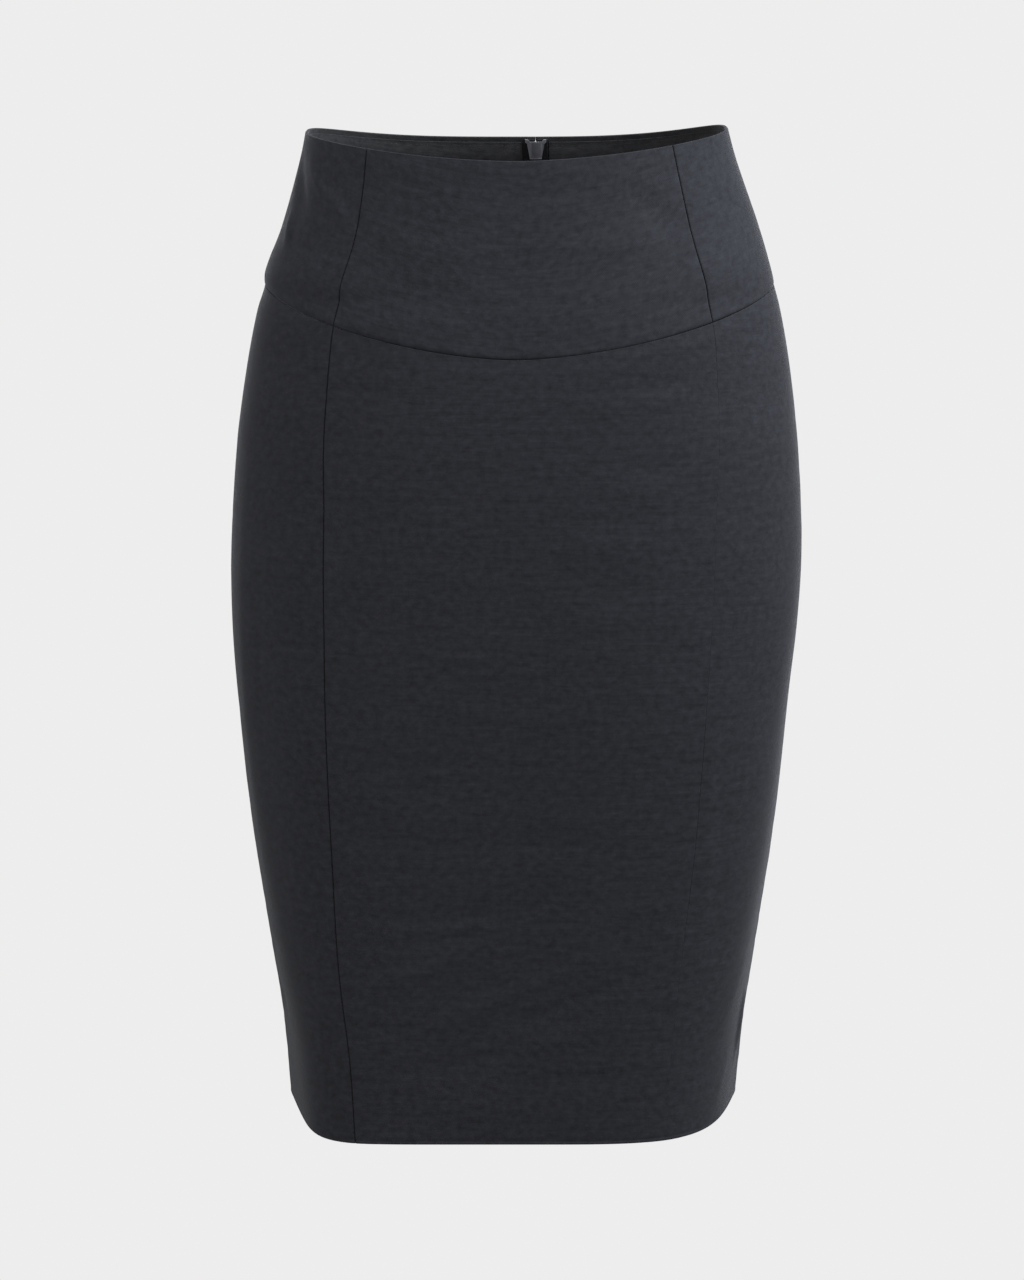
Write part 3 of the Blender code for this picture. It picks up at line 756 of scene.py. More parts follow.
def shell_sides(angle, height, depth, wall, edges, spans, hem=False, layer=None):
    """A panel's plain, outer and inner sides, from its points' distances from its edges."""
    plain = outer_point(angle, height)
    normal = surface_normal(angle, height)
    outer_drop = np.zeros(np.shape(angle))
    inner_drop = np.zeros(np.shape(angle))
    lift = crease_rise(angle, height)
    turned = np.zeros(np.shape(angle)) if layer is None else layer
    round_it = angle * ALONG_RATE
    for edge, distance, along in zip(edges, spans, (height, height, round_it, round_it)):
        drop, drop_inside, rise, folded = edge_relief(edge, distance, along)
        outer_drop = np.maximum(outer_drop, drop)
        inner_drop = np.maximum(inner_drop, drop_inside)
        lift = lift + rise
        turned = np.maximum(turned, folded)
    if hem:
        up = spans[2]
        turned = np.maximum(turned, turned_in(HEM_ALLOWANCE, up))
        groove = np.exp(-(((up - HEM_GROOVE_HEIGHT) / HEM_GROOVE_WIDTH) ** 2))
        lift = lift - HEM_GROOVE * groove
    inward = depth + wall + TURNED_IN * turned - inner_drop
    outer = plain + normal * (lift - depth - outer_drop)[..., None]
    inner = plain + normal * (lift - inward)[..., None]
    return plain, outer, inner


def flat_coordinates(plain):
    """Each point's place in the flat cloth: across it, up it, and the cloth's number."""
    across = run_lengths(plain, 1)
    up = run_lengths(plain, 0)
    middle = plain.shape[1] // 2
    across = across - across[:, middle : middle + 1]
    number = np.full(across.shape, next_cloth())
    return np.stack([across, up, number], -1)


def make_panel(panel, across, upward):
    """A sewn panel as a thin closed shell, and its plain surface."""
    angle, height = panel_places(panel, across, upward)
    spans = edge_spans(outer_point(angle, height))
    edges = panel.edges(height) if callable(panel.edges) else panel.edges
    layer = panel.layer(spans) if panel.layer else None
    plain, outer, inner = shell_sides(
        angle, height, panel.inset, panel.wall, edges, spans, panel.hem, layer
    )
    if panel.pressed:
        share = 1 - smooth_step(0, PRESSED_REACH, spans[3])
        flat = surface_normal(angle, height) * share[..., None]
        outer, inner = outer + PRESSED_OUTER * flat, inner + PRESSED_INNER * flat
    return cloth_piece(panel.node, outer, inner, plain), plain


def cloth_piece(node, outer, inner, plain, kept=None):
    """The shell that stands for a cloth node."""
    thing = close_shell(f"{node}_cloth", outer, inner, flat_coordinates(plain), kept)
    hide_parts(node)
    return thing


def reference_span(panel, height):
    """A panel's width at a height."""
    ends = panel.start(np.array(height)), panel.end(np.array(height))
    angle = np.linspace(*ends, MEASURE_POINTS)
    return run_lengths(outer_point(angle, height + 0 * angle), 0)[-1]


def reference_length(panel):
    """A panel's length down its middle."""
    angle, height = panel_places(panel, np.array([0.5]), np.linspace(0, 1, MEASURE_POINTS))
    return run_lengths(outer_point(angle, height), 0)[-1, 0]


# ---------------------------------------------------------------- finishes


class Nodes:
    """Short calls for a material's nodes."""

    def __init__(self, material):
        self.tree = material.node_tree
        self.shader = self.tree.nodes["Principled BSDF"]

    def feed(self, socket, value):
        if isinstance(value, bpy.types.NodeSocket):
            self.tree.links.new(value, socket)
        else:
            socket.default_value = value

    def add(self, kind, inputs=(), **settings):
        node = self.tree.nodes.new(kind)
        for name, value in settings.items():
            setattr(node, name, value)
        for key, value in dict(inputs).items():
            self.feed(node.inputs[key], value)
        return node

    def math(self, operation, *values):
        return self.add("ShaderNodeMath", dict(enumerate(values)), operation=operation).outputs[0]

    def weighted(self, *parts):
        """The sum of values, each times its weight."""
        total = None
        for value, weight in parts:
            part = self.math("MULTIPLY", value, weight)
            total = part if total is None else self.math("ADD", total, part)
        return total

    def mapped(self, value, low, high, to_low=0.0, to_high=1.0):
        """A value from one range, mapped to another."""
        ends = {"From Min": low, "From Max": high, "To Min": to_low, "To Max": to_high}
        return self.add("ShaderNodeMapRange", {"Value": value, **ends}).outputs["Result"]

    def noise(self, vector, scale, detail=2.0, roughness=0.5):
        """Noise from 0 to 1 whose features are 1 / scale long each way."""
        stretched = self.add("ShaderNodeVectorMath", {0: vector, 1: scale}, operation="MULTIPLY")
        settings = {
            "Vector": stretched.outputs[0], "Scale": 1.0, "Detail": detail, "Roughness": roughness
        }
        return self.add("ShaderNodeTexNoise", settings).outputs["Fac"]

    def grain(self, scale, detail=2.0, roughness=0.5):
        """Noise in the object's own metres."""
        place = self.add("ShaderNodeTexCoord").outputs["Object"]
        return self.noise(place, scale, detail, roughness)

    def ramp(self, value, low, high, dark, light):
        """A colour from dark to light as the value goes from low to high."""
        inputs = {"Factor": self.mapped(value, low, high), 6: (*dark, 1.0), 7: (*light, 1.0)}
        return self.add("ShaderNodeMix", inputs, data_type="RGBA").outputs[2]

    def bump(self, height, distance, strength, normal=None):
        inputs = {"Height": height, "Distance": distance, "Strength": strength}
        if normal is not None:
            inputs["Normal"] = normal
        return self.add("ShaderNodeBump", inputs).outputs["Normal"]

    def set(self, **values):
        for name, value in values.items():
            self.feed(self.shader.inputs[name.replace("_", " ")], value)


def new_material(name):
    material = bpy.data.materials.new(name)
    material.use_nodes = True
    return material, Nodes(material)


Weave = namedtuple("Weave", "name dark light spread pitch sheen tint")
SUITING, YOKE, FACING, TAPE = table(
    Weave,
    (
        "suiting_weave", (0.0092, 0.0094, 0.0110), (0.0200, 0.0207, 0.0243),
        0.22, 0.46, 0.03, (0.85, 0.87, 0.92),
    ),
    # The yoke's cloth is the suiting made a little lighter. That lightness is painted light,
    # because the yoke faces up towards the key lamp.
    (
        "yoke_weave", (0.0094, 0.0097, 0.0113), (0.0206, 0.0213, 0.0250),
        0.21, 0.46, 0.03, (0.85, 0.87, 0.92),
    ),
    # The facing's cloth, which is also the inner side of every panel, is lighter than the
    # suiting. That lightness is painted light for the inside of the skirt.
    (
        "facing_weave", (0.0132, 0.0132, 0.0135), (0.0262, 0.0262, 0.0269),
        0.20, 0.46, 0.02, (0.85, 0.85, 0.88),
    ),
    (
        "zip_tape_weave", (0.0060, 0.0060, 0.0068), (0.0150, 0.0150, 0.0165),
        0.20, 0.70, 0.02, (0.70, 0.70, 0.75),
    ),
)


def make_weave(weave):
    """A plain-woven cloth, with slubs, a fine mottle and a low sheen."""
    material, nodes = new_material(weave.name)
    place = nodes.add("ShaderNodeAttribute", attribute_name="cloth").outputs["Vector"]
    wander = nodes.noise(place, (0.09, 0.09, 1.0))
    wefts = nodes.noise(place, (0.11, 1.1, 1.0), 3.0, 0.7)
    warps = nodes.noise(place, (1.1, 0.11, 1.0), 3.0, 0.7)
    mottle = nodes.noise(place, (0.20, 0.23, 1.0), 2.0, 0.60)
    specks = nodes.noise(place, (0.36, 0.46, 1.0), 1.0)
    broad = nodes.noise(place, (0.030, 0.040, 1.0), 3.0)
    ripples = nodes.noise(place, (0.028, 0.21, 1.0))
    specks = nodes.mapped(specks, 0.60, 0.76)
    shade = nodes.weighted(
        (wefts, 0.08), (warps, 0.09), (mottle, 0.68), (broad, 0.14), (specks, 0.10)
    )
    colour = nodes.ramp(shade, 0.5 - weave.spread, 0.5 + weave.spread, weave.dark, weave.light)

    parts = nodes.add("ShaderNodeSeparateXYZ", {0: place})
    turns = FULL_TURN / (2 * weave.pitch)
    bend = nodes.math("MULTIPLY", wander, 2.2)

    def wave(axis):
        run = nodes.math("MULTIPLY", parts.outputs[axis], turns)
        return nodes.math("SINE", nodes.math("ADD", run, bend))

    normal = nodes.bump(nodes.math("MULTIPLY", wave("X"), wave("Y")), 0.00005, 0.5)
    slubs = nodes.math("ADD", wefts, nodes.math("MULTIPLY", warps, 0.8))
    normal = nodes.bump(slubs, 0.00005, 0.6, normal)
    normal = nodes.bump(mottle, 0.00012, 0.8, normal)
    normal = nodes.bump(ripples, 0.00040, 0.8, normal)
    nodes.set(
        Base_Color=colour,
        Roughness=nodes.mapped(mottle, 0.3, 0.7, 0.74, 0.90),
        Normal=normal,
        Sheen_Weight=weave.sheen,
        Sheen_Roughness=0.35,
        Sheen_Tint=(*weave.tint, 1.0),
        Specular_IOR_Level=0.06,
    )
    return material


def make_fibre(name, scale, spread, dark, light, bump, roughness):
    """A thread's finish, a little uneven."""
    material, nodes = new_material(name)
    grain = nodes.grain(scale)
    colour = nodes.ramp(grain, 0.5 - spread, 0.5 + spread, dark, light)
    nodes.set(Base_Color=colour, Normal=nodes.bump(grain, *bump), Roughness=roughness)
    return material


def make_metal():
    """Grey painted zinc, a little rubbed along its edges."""
    material, nodes = new_material("zip_metal_paint")
    grain = nodes.grain((1500, 1500, 1500), 4.0, 0.6)
    clouds = nodes.grain((260, 260, 260), 3.0)
    edge = nodes.add("ShaderNodeNewGeometry").outputs["Pointiness"]
    shade = nodes.weighted((clouds, 0.5), (nodes.mapped(edge, 0.50, 0.58), 0.5))
    nodes.set(
        Base_Color=nodes.ramp(shade, 0.15, 0.75, (0.105, 0.105, 0.115), (0.24, 0.24, 0.255)),
        Metallic=0.65,
        Roughness=nodes.mapped(grain, 0.3, 0.7, 0.30, 0.46),
        Normal=nodes.bump(grain, 0.00002, 0.35),
    )
    return material


suiting, lit_yoke_cloth, lit_facing_cloth, tape_cloth = map(make_weave, (SUITING, YOKE, FACING, TAPE))
thread = make_fibre(
    "thread", (5200, 5200, 9000), 0.15, (0.011, 0.011, 0.013), (0.026, 0.027, 0.031),
    (0.00004, 0.4), 0.55,
)
nylon = make_fibre(
    "zip_coil", (1400, 1400, 1400), 0.2, (0.012, 0.012, 0.014), (0.020, 0.020, 0.023),
    (0.00002, 0.3), 0.38,
)
metal = make_metal()


def finish_piece(thing, material, body="skirt", inside=None):
    thing.data.materials.append(material)
    if inside:
        thing.data.materials.append(inside)
    else:
        faces = thing.data.polygons
        faces.foreach_set("material_index", np.zeros(len(faces), np.int32))
    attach(thing, body)
    return thing


# ---------------------------------------------------------------- the panels


skirt_bottom = constant(HEM_HEIGHT)


def sewn_panel(node, start, end, edges, hem):
    """A suiting panel on its own node's form: of the skirt, with a hem, or of the yoke."""
    if hem:
        panel = Panel(node, start, end, skirt_bottom, skirt_top, edges, SKIRT_WALL, hem=True)
        reference, lower, outside = SKIRT_REFERENCE, HEM_STEPS, suiting
    else:
        panel = Panel(node, start, end, yoke_bottom, waist_edge, edges, YOKE_WALL)
        reference, lower, outside = YOKE_REFERENCE, TURN_STEPS, lit_yoke_cloth
    across = graded(reference_span(panel, reference), STEP_ACROSS)
    upward = graded(reference_length(panel), STEP_UP, lower)
    thing, plain = make_panel(panel, across, upward)
    return finish_piece(thing, outside, inside=lit_facing_cloth), plain


def make_front(kind, lower, upper, hem):
    """The side and centre panels of the front, between their princess seams."""
    centre_left, side_of_left = (
        (PRINCESS_CENTRE_FAINT, PRINCESS_SIDE_FAINT) if hem
        else (PRINCESS_CENTRE, PRINCESS_SIDE)
    )
    half_left = HALF_FAINT if hem else HALF_SEEN
    for place, start, end, start_edge, end_edge in (
        (
            "side_right", beside(side_right, HALF_SEEN), beside(princess_right, -HALF_SEEN),
            SIDE_SEAM, PRINCESS_SIDE,
        ),
        (
            "centre", beside(princess_right, HALF_SEEN), beside(princess_left, -half_left),
            PRINCESS_CENTRE, centre_left,
        ),
        (
            "side_left", beside(princess_left, half_left), beside(side_left_again, -HALF_SEEN),
            side_of_left, SIDE_SEAM,
        ),
    ):
        edges = Edges(start_edge, end_edge, lower, upper)
        thing, plain = sewn_panel(f"{kind}_front_{place}", start, end, edges, hem)


BACK_SIDE_SEAM = SIDE_SEAM._replace(allowance=False)
SKIRT_UPPER_BACK = SKIRT_UPPER._replace(allowance=False)
left_start = beside(side_left, HALF_SEEN)
right_end = beside(side_right, -HALF_SEEN)

make_front("yoke", YOKE_LOWER, WAIST_FOLD, False)
for side, start, end, start_edge, end_edge in (
    ("left", left_start, beside(back_line, minus_slit_half), BACK_SIDE_SEAM, ZIP_EDGE),
    ("right", beside(back_line, slit_half), right_end, ZIP_EDGE, BACK_SIDE_SEAM),
):
    edges = Edges(start_edge, end_edge, YOKE_LOWER, WAIST_FOLD)
    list(sewn_panel(f"yoke_back_{side}", start, end, edges, False))
make_front("skirt", HEM_FOLD, SKIRT_UPPER, True)

# ---------------------------------------------------------------- the skirt's back

BACK_TOP = float(skirt_top(CENTRE_BACK))
VENT_SHARE = (VENT_TOP - HEM_HEIGHT) / (BACK_TOP - HEM_HEIGHT)


def back_rows(panel):
    """The back's rows, one of which is at the top of the vent, and that row's number."""
    rows = graded(reference_length(panel), STEP_UP, HEM_STEPS)
    vent_row = int(np.argmin(np.abs(rows - VENT_SHARE)))
    rows[vent_row] = VENT_SHARE
    return rows, vent_row


def open_back_seam(height):
    """The centre-back seam, whose allowances are pressed open between the zip and the vent."""
    below_zip = 1 - smooth_step(*(TAPE_BOTTOM - gap for gap in OPEN_BELOW_ZIP), height)
    above_vent = smooth_step(*(VENT_TOP + gap for gap in OPEN_ABOVE_VENT), height)
    return BACK_SEAM._replace(allowance=below_zip * above_vent)


def back_left_edges(height):
    return Edges(SIDE_SEAM, open_back_seam(height), HEM_FOLD, SKIRT_UPPER_BACK)


def hem_clear_of_vent(spans):
    """The hem's turned-up layer, which stops short of the underlap."""
    clear = smooth_step(*(VENT_UNDERLAP + gap for gap in HEM_BESIDE_VENT), spans[1])
    return turned_in(HEM_ALLOWANCE, spans[2]) * clear


def make_back_left():
    """The left back panel, which closes over the vent with a folded edge."""
    panel = Panel(
        "skirt_back_left", left_start, beside(back_line, -HALF_SEEN), skirt_bottom,
        skirt_top, back_left_edges, SKIRT_WALL, layer=hem_clear_of_vent,
    )
    across = graded(reference_span(panel, SKIRT_REFERENCE), STEP_ACROSS)
    thing, plain = make_panel(panel, across, back_rows(panel)[0])
    return finish_piece(thing, suiting, inside=lit_facing_cloth), plain


# How far past the centre-back line the underlap's columns lie: up to the seam, and then
# those that only the open vent has.
SEAM_COLUMNS = (
    -7.4, -6.0, -4.8, -3.8, -3.0, -2.3, -1.7, -1.2, -0.8, -0.5, -0.26, -0.12, -HALF_SEEN,
)
VENT_COLUMNS = (*range(2, 30, 3), 31.0, 32.6, 33.4, 33.8, VENT_UNDERLAP)
JOIN_STEPS = (0.0, 1.8, 4.0)    # and the main panel's first steps after them
UNDERLAP_DIP = (-5.0, -1.2)     # where the cloth steps in, under the left panel
SCARCELY_SUNK = 0.01
VENT_ROLL = 0.58                # how deep the underlap's free edge is rounded
FAR = 99.0                      # farther than any edge reaches


def make_back_right():
    """The right back panel, whose underlap runs on behind the left one in the vent."""
    panel = Panel(
        "skirt_back_right", beside(back_line, UNDERLAP_START), right_end, skirt_bottom,
        skirt_top, None, SKIRT_WALL,
    )
    main = graded(reference_span(panel, SKIRT_REFERENCE), STEP_ACROSS, first=JOIN_STEPS)
    upward, vent_row = back_rows(panel)
    angle, height = panel_places(panel, main, upward)

    line_height = mix(HEM_HEIGHT, BACK_TOP, upward)[:, None]
    past = np.array([*reversed(VENT_COLUMNS), *reversed(SEAM_COLUMNS)])[None, :]
    strip_top = VENT_TOP - VENT_SPREAD * past / VENT_UNDERLAP
    squeezed = mix(
        HEM_HEIGHT, strip_top, (line_height - HEM_HEIGHT) / (VENT_TOP - HEM_HEIGHT)
    )
    strip_height = np.where(past > 0, squeezed, line_height + 0 * past)
    strip_angle = beside(back_line, -past)(line_height)
    angle = np.concatenate([strip_angle, angle], 1)
    height = np.concatenate([strip_height, height], 1)

    plain = outer_point(angle, height)
    main_past = -UNDERLAP_START - run_lengths(plain[:, past.size :], 1)
    past = np.concatenate([past + 0 * strip_height, main_past], 1)
    in_vent = np.arange(len(upward))[:, None] <= vent_row
    sunk = smooth_step(*UNDERLAP_DIP, past)
    sunk = sunk * smooth_step(VENT_TOP + VENT_SINK, VENT_TOP, line_height)

    _, from_side, up, to_top = edge_spans(plain)
    to_seam = np.where(in_vent, FAR, np.maximum(-past - HALF_SEEN, 0))
    to_free_edge = np.where(in_vent, VENT_UNDERLAP - past, FAR)
    to_top = np.where(in_vent & (past > 0), up[vent_row] - up, to_top)
    plain, outer, inner = shell_sides(
        angle, height, (SKIRT_WALL + SOLID_GAP) * sunk, SKIRT_WALL,
        Edges(open_back_seam(height), SIDE_SEAM, HEM_FOLD, SKIRT_UPPER_BACK),
        (to_seam, from_side, up, to_top),
        layer=turned_in(HEM_ALLOWANCE, up) * (sunk < SCARCELY_SUNK),
    )
    fold = surface_normal(angle, height) * rounding(to_free_edge, VENT_ROLL)[..., None]
    kept = np.ones((len(upward) - 1, angle.shape[1] - 1), bool)
    kept[vent_row:, : len(VENT_COLUMNS)] = False
    thing = cloth_piece(panel.node, outer - fold, inner + fold, plain, kept)
    return finish_piece(thing, suiting, inside=lit_facing_cloth), plain


# ---------------------------------------------------------------- threads and the coil

OFF_AXIS = (0.31, 0.53, 0.79)   # a direction that no thread runs in


def ring_faces(rings, sides):
    """The faces between rings of points, one after the other."""
    faces = []
    for ring in range(rings - 1):
        for side in range(sides):
            here, there = ring * sides + side, ring * sides + (side + 1) % sides
            faces.append((here, there, there + sides, here + sides))
    return faces


def tube(path, radii, sides=6):
    """Points and faces of a closed tube along a path."""
    radii = np.broadcast_to(radii, len(path))
    ahead = unit(np.gradient(path, axis=0))
    aside = unit(np.cross(ahead, OFF_AXIS))
    over = np.cross(ahead, aside)
    turn = np.arange(sides) * FULL_TURN / sides
    ring = aside[:, None] * np.cos(turn)[:, None] + over[:, None] * np.sin(turn)[:, None]
    points = (path[:, None] + ring * radii[:, None, None]).reshape(-1, 3)
    first = range(sides)
    last = range((len(path) - 1) * sides, len(path) * sides)
    return points, [*ring_faces(len(path), sides), tuple(reversed(first)), tuple(last)]


def join_tubes(name, tubes):
    points, faces, count = [], [], 0
    for tube_points, tube_faces in tubes:
        points.append(tube_points)
        faces += [tuple(count + corner for corner in face) for face in tube_faces]
        count += len(tube_points)
    thing = build_mesh(name, (np.concatenate(points) * MM).tolist(), faces)
    thing.data.shade_smooth()
    return thing


def make_stitches(name, angle, height, depth):
    """A row of stitches along a line on the cloth, at a depth under the outer surface."""
    outside = np.sign(STITCH_RADIUS - depth)
    normal = surface_normal(angle, height)
    line = outer_point(angle, height) + normal * (crease_rise(angle, height) - depth)[:, None]
    run = run_lengths(line, 0)
    share = np.linspace(0, 1, len(STITCH_PROFILE))
    arc = np.sin(np.linspace(0, math.pi, len(STITCH_PROFILE)))
    arch = outside * (STITCH_RADIUS * (STITCH_ARCH * arc - STITCH_SUNK))
    radii = STITCH_RADIUS * np.array(STITCH_PROFILE)
    tubes = []
    for index in range(int(run[-1] / (STITCH_LENGTH + STITCH_GAP))):
        start = index * (STITCH_LENGTH + STITCH_GAP) + STITCH_GAP / 2
        places = start + STITCH_LENGTH * share
        at, out = (
            np.stack([np.interp(places, run, points[:, axis]) for axis in range(3)], -1)
            for points in (line, normal)
        )
        tubes.append(tube(at + out * arch[:, None], radii))
    return finish_piece(join_tubes(name, tubes), thread)


def make_coil(side):
    """One half of the zip's coil, on the inside of its tape, below the slider."""
    sign, turned = (1, math.pi) if side == "right" else (-1, 0)
    top = SLIDER_BASE_HEIGHT - SLIDER_BELOW + COIL_TO_SLIDER
    bottom = TAPE_BOTTOM + COIL_TO_END
    turns = (top - bottom) / COIL_PITCH
    share = np.linspace(0, 1, int(turns * COIL_POINTS))
    height = mix(top, bottom, share)
    phase = share * turns * FULL_TURN + turned
    away = sign * (COIL_OFFSET + COIL_WIDTH / 2 * np.cos(phase))
    base = YOKE_WALL + SOLID_GAP + TAPE_WALL + COIL_HEIGHT / 2 + COIL_THREAD
    depth = base + COIL_HEIGHT / 2 * np.sin(phase) - COIL_PRESSED
    angle = beside(back_line, away)(height)
    lift = crease_rise(angle, height) - depth
    path = outer_point(angle, height) + surface_normal(angle, height) * lift[:, None]
    coil = join_tubes(f"zip_coil_{side}", [tube(path, COIL_THREAD, COIL_SIDES)])
    return finish_piece(coil, nylon)


left_panel, left_plain = make_back_left()
right_panel, right_plain = make_back_right()

vent_run = np.linspace(VENT_STITCH_ENDS[0], VENT_UNDERLAP - VENT_STITCH_ENDS[1], MEASURE_POINTS)
vent_height = VENT_TOP - VENT_STITCH_DROP - VENT_SPREAD * vent_run / VENT_UNDERLAP
vent_angle = beside(back_line, -vent_run)(vent_height)
vent_stitches = make_stitches("vent_stitches", vent_angle, vent_height, 0.0)

# ---------------------------------------------------------------- facings and tapes

FACING_STEP = 1.3 * STEP_ACROSS
TAPE_STEP = 0.9

facing_top = above(waist_edge, -FACING_DROP)
for side, start, end in (
    ("left", left_start, beside(back_line, -FACING_FROM_ZIP)),
    ("right", beside(back_line, FACING_FROM_ZIP), right_end),
):
    panel = Panel(
        f"yoke_facing_back_{side}", start, end, yoke_bottom, facing_top,
        Edges(FACING_EDGE, FACING_EDGE, FACING_EDGE, FACING_ROLL), FACING_WALL,
        YOKE_WALL + FACING_CLEARANCE, pressed=True,
    )
    span = reference_span(panel, YOKE_REFERENCE)
    across = graded(span, FACING_STEP, EDGE_STEPS, EDGE_STEPS)
    upward = graded(reference_length(panel), STEP_UP, EDGE_STEPS, EDGE_STEPS)
    thing, plain = make_panel(panel, across, upward)
    finish_piece(thing, lit_facing_cloth)
    share = np.linspace(*FACING_STITCH_ENDS, FACING_STITCH_POINTS)
    height = np.full(share.shape, WAIST_CENTRE)
    for _ in range(SETTLING_ROUNDS):
        angle = mix(start(height), end(height), share)
        height = facing_top(angle) - FACING_STITCH_DROP
    stitches = make_stitches(f"facing_stitches_{side}", angle, height, FACING_STITCH_DEPTH)

for side, low, high in (
    ("left", -TAPE_EDGE, -TAPE_FROM_ZIP),
    ("right", TAPE_FROM_ZIP, TAPE_EDGE),
):
    panel = Panel(
        f"zip_tape_{side}", beside(back_line, low), beside(back_line, high),
        constant(TAPE_BOTTOM), above(waist_edge, -TAPE_TOP_DROP), Edges(*[TAPE_BORDER] * 4),
        TAPE_WALL, YOKE_WALL + SOLID_GAP,
    )
    across = graded(TAPE_EDGE - TAPE_FROM_ZIP, TAPE_STEP, THIN_STEPS, THIN_STEPS)
    upward = graded(reference_length(panel), STEP_UP, THIN_STEPS, THIN_STEPS)
    thing, plain = make_panel(panel, across, upward)
    finish_piece(thing, tape_cloth)
    coil = make_coil(side)

# ---------------------------------------------------------------- the slider and its tab

ACROSS = Vector((1, 0, 0))
OUTWARD = Vector((0, 1, 0))


def upright(*places):
    """Points in the slider's plane, from how far across and how far up each is."""
    return [Vector((across, 0, up)) for across, up in places]


def mirrored(places):
    return [(-across, up) for across, up in reversed(places)]


def rounded_outline(corners, radius, steps=5):
    """A closed outline of straight sides, with each corner turned into an arc."""
    points = []
    for index, corner in enumerate(corners):
        before = (corners[index - 1] - corner).normalized()
        after = (corners[(index + 1) % len(corners)] - corner).normalized()
        half_angle = before.angle(after) / 2
        setback = radius / math.tan(half_angle)
        centre = corner + (before + after).normalized() * (radius / math.sin(half_angle))
        start = corner + before * setback - centre
        end = corner + after * setback - centre
        for step in range(steps + 1):
            turned = start.slerp(end, step / steps).normalized()
            points.append(centre + turned * radius)
    return points


def faces_in(result):
    return [item for item in result["geom"] if isinstance(item, bmesh.types.BMFace)]


def add_plate(shape, outline, thickness, axis, low, holes=()):
    """A flat plate added to a shape: outlines across an axis, extruded along it."""
    edges, corners = [], []
    for loop in (outline, *holes):
        ring = [shape.verts.new(point) for point in loop]
        corners += ring
        edges += [shape.edges.new(pair) for pair in zip(ring, ring[1:] + ring[:1])]
    faces = faces_in(bmesh.ops.triangle_fill(shape, edges=edges, use_beauty=True))
    bmesh.ops.translate(shape, verts=corners, vec=axis * low)
    side = bmesh.ops.extrude_face_region(shape, geom=faces)
    moved = [item for item in side["geom"] if isinstance(item, bmesh.types.BMVert)]
    bmesh.ops.translate(shape, verts=moved, vec=axis * thickness)
    return faces, faces_in(side)


def slider_tilt():
    """How far the yoke leans at the slider."""
    heights = SLIDER_BASE_HEIGHT + np.array([-SLIDER_BELOW, SLIDER_ABOVE])
    middle = back_line(np.array([SLIDER_BASE_HEIGHT]))
    below_it, above_it = outer_point(middle + 0 * heights, heights)
    return math.atan2(below_it[1] - above_it[1], above_it[2] - below_it[2])


def finish_plates(name, shape, bevel):
    """Turn a shape of plates into an object at the hinge, with rounded edges."""
    bmesh.ops.recalc_face_normals(shape, faces=list(shape.faces))
    bmesh.ops.scale(shape, verts=shape.verts, vec=(MM, MM, MM))
    mesh = bpy.data.meshes.new(name)
    shape.to_mesh(mesh)
    shape.free()
    thing = add_object(name, mesh)
    mesh.shade_smooth()
    mesh.set_sharp_from_angle(angle=SHARP_ANGLE)
    thing.location = Vector(frame["joints"][0]["pos_m"])
    thing.rotation_euler = (slider_tilt(), 0, 0)
    rounded = thing.modifiers.new("rounded edges", "BEVEL")
    rounded.width = bevel * MM
    rounded.segments = BEVEL_STEPS
    rounded.limit_method = "ANGLE"
    rounded.angle_limit = SHARP_ANGLE
    rounded.harden_normals = False
    return thing


def slider_outline(inset, top_edge):
    """The slider's outline, drawn in by an inset, under its top edge."""
    half_top = SLIDER_TOP_WIDTH / 2 - inset
    half_side = SLIDER_SIDE_WIDTH / 2 - inset
    half_tail = SLIDER_TAIL_WIDTH / 2 - inset
    left = [(-share * half_top, SLIDER_ABOVE - drop) for share, drop in top_edge]
    side = [
        (half_top, SLIDER_SHOULDER), (half_side, SLIDER_SIDE),
        (half_tail, SLIDER_WAIST), (half_tail, -SLIDER_BELOW + inset),
    ]
    corners = upright(*left, *mirrored(left), *side, *mirrored(side))
    return rounded_outline(corners, SLIDER_CORNER)


def crown(shape, half_width, rise):
    """Bow a plate out in the middle."""
    for place in np.linspace(-half_width, half_width, CROWN_STEPS)[1:-1]:
        everything = [*shape.verts, *shape.edges, *shape.faces]
        bmesh.ops.bisect_plane(shape, geom=everything, plane_co=ACROSS * place, plane_no=ACROSS)
    for corner in shape.verts:
        corner.co.y -= rise * max(0.0, 1 - (corner.co.x / half_width) ** 2)


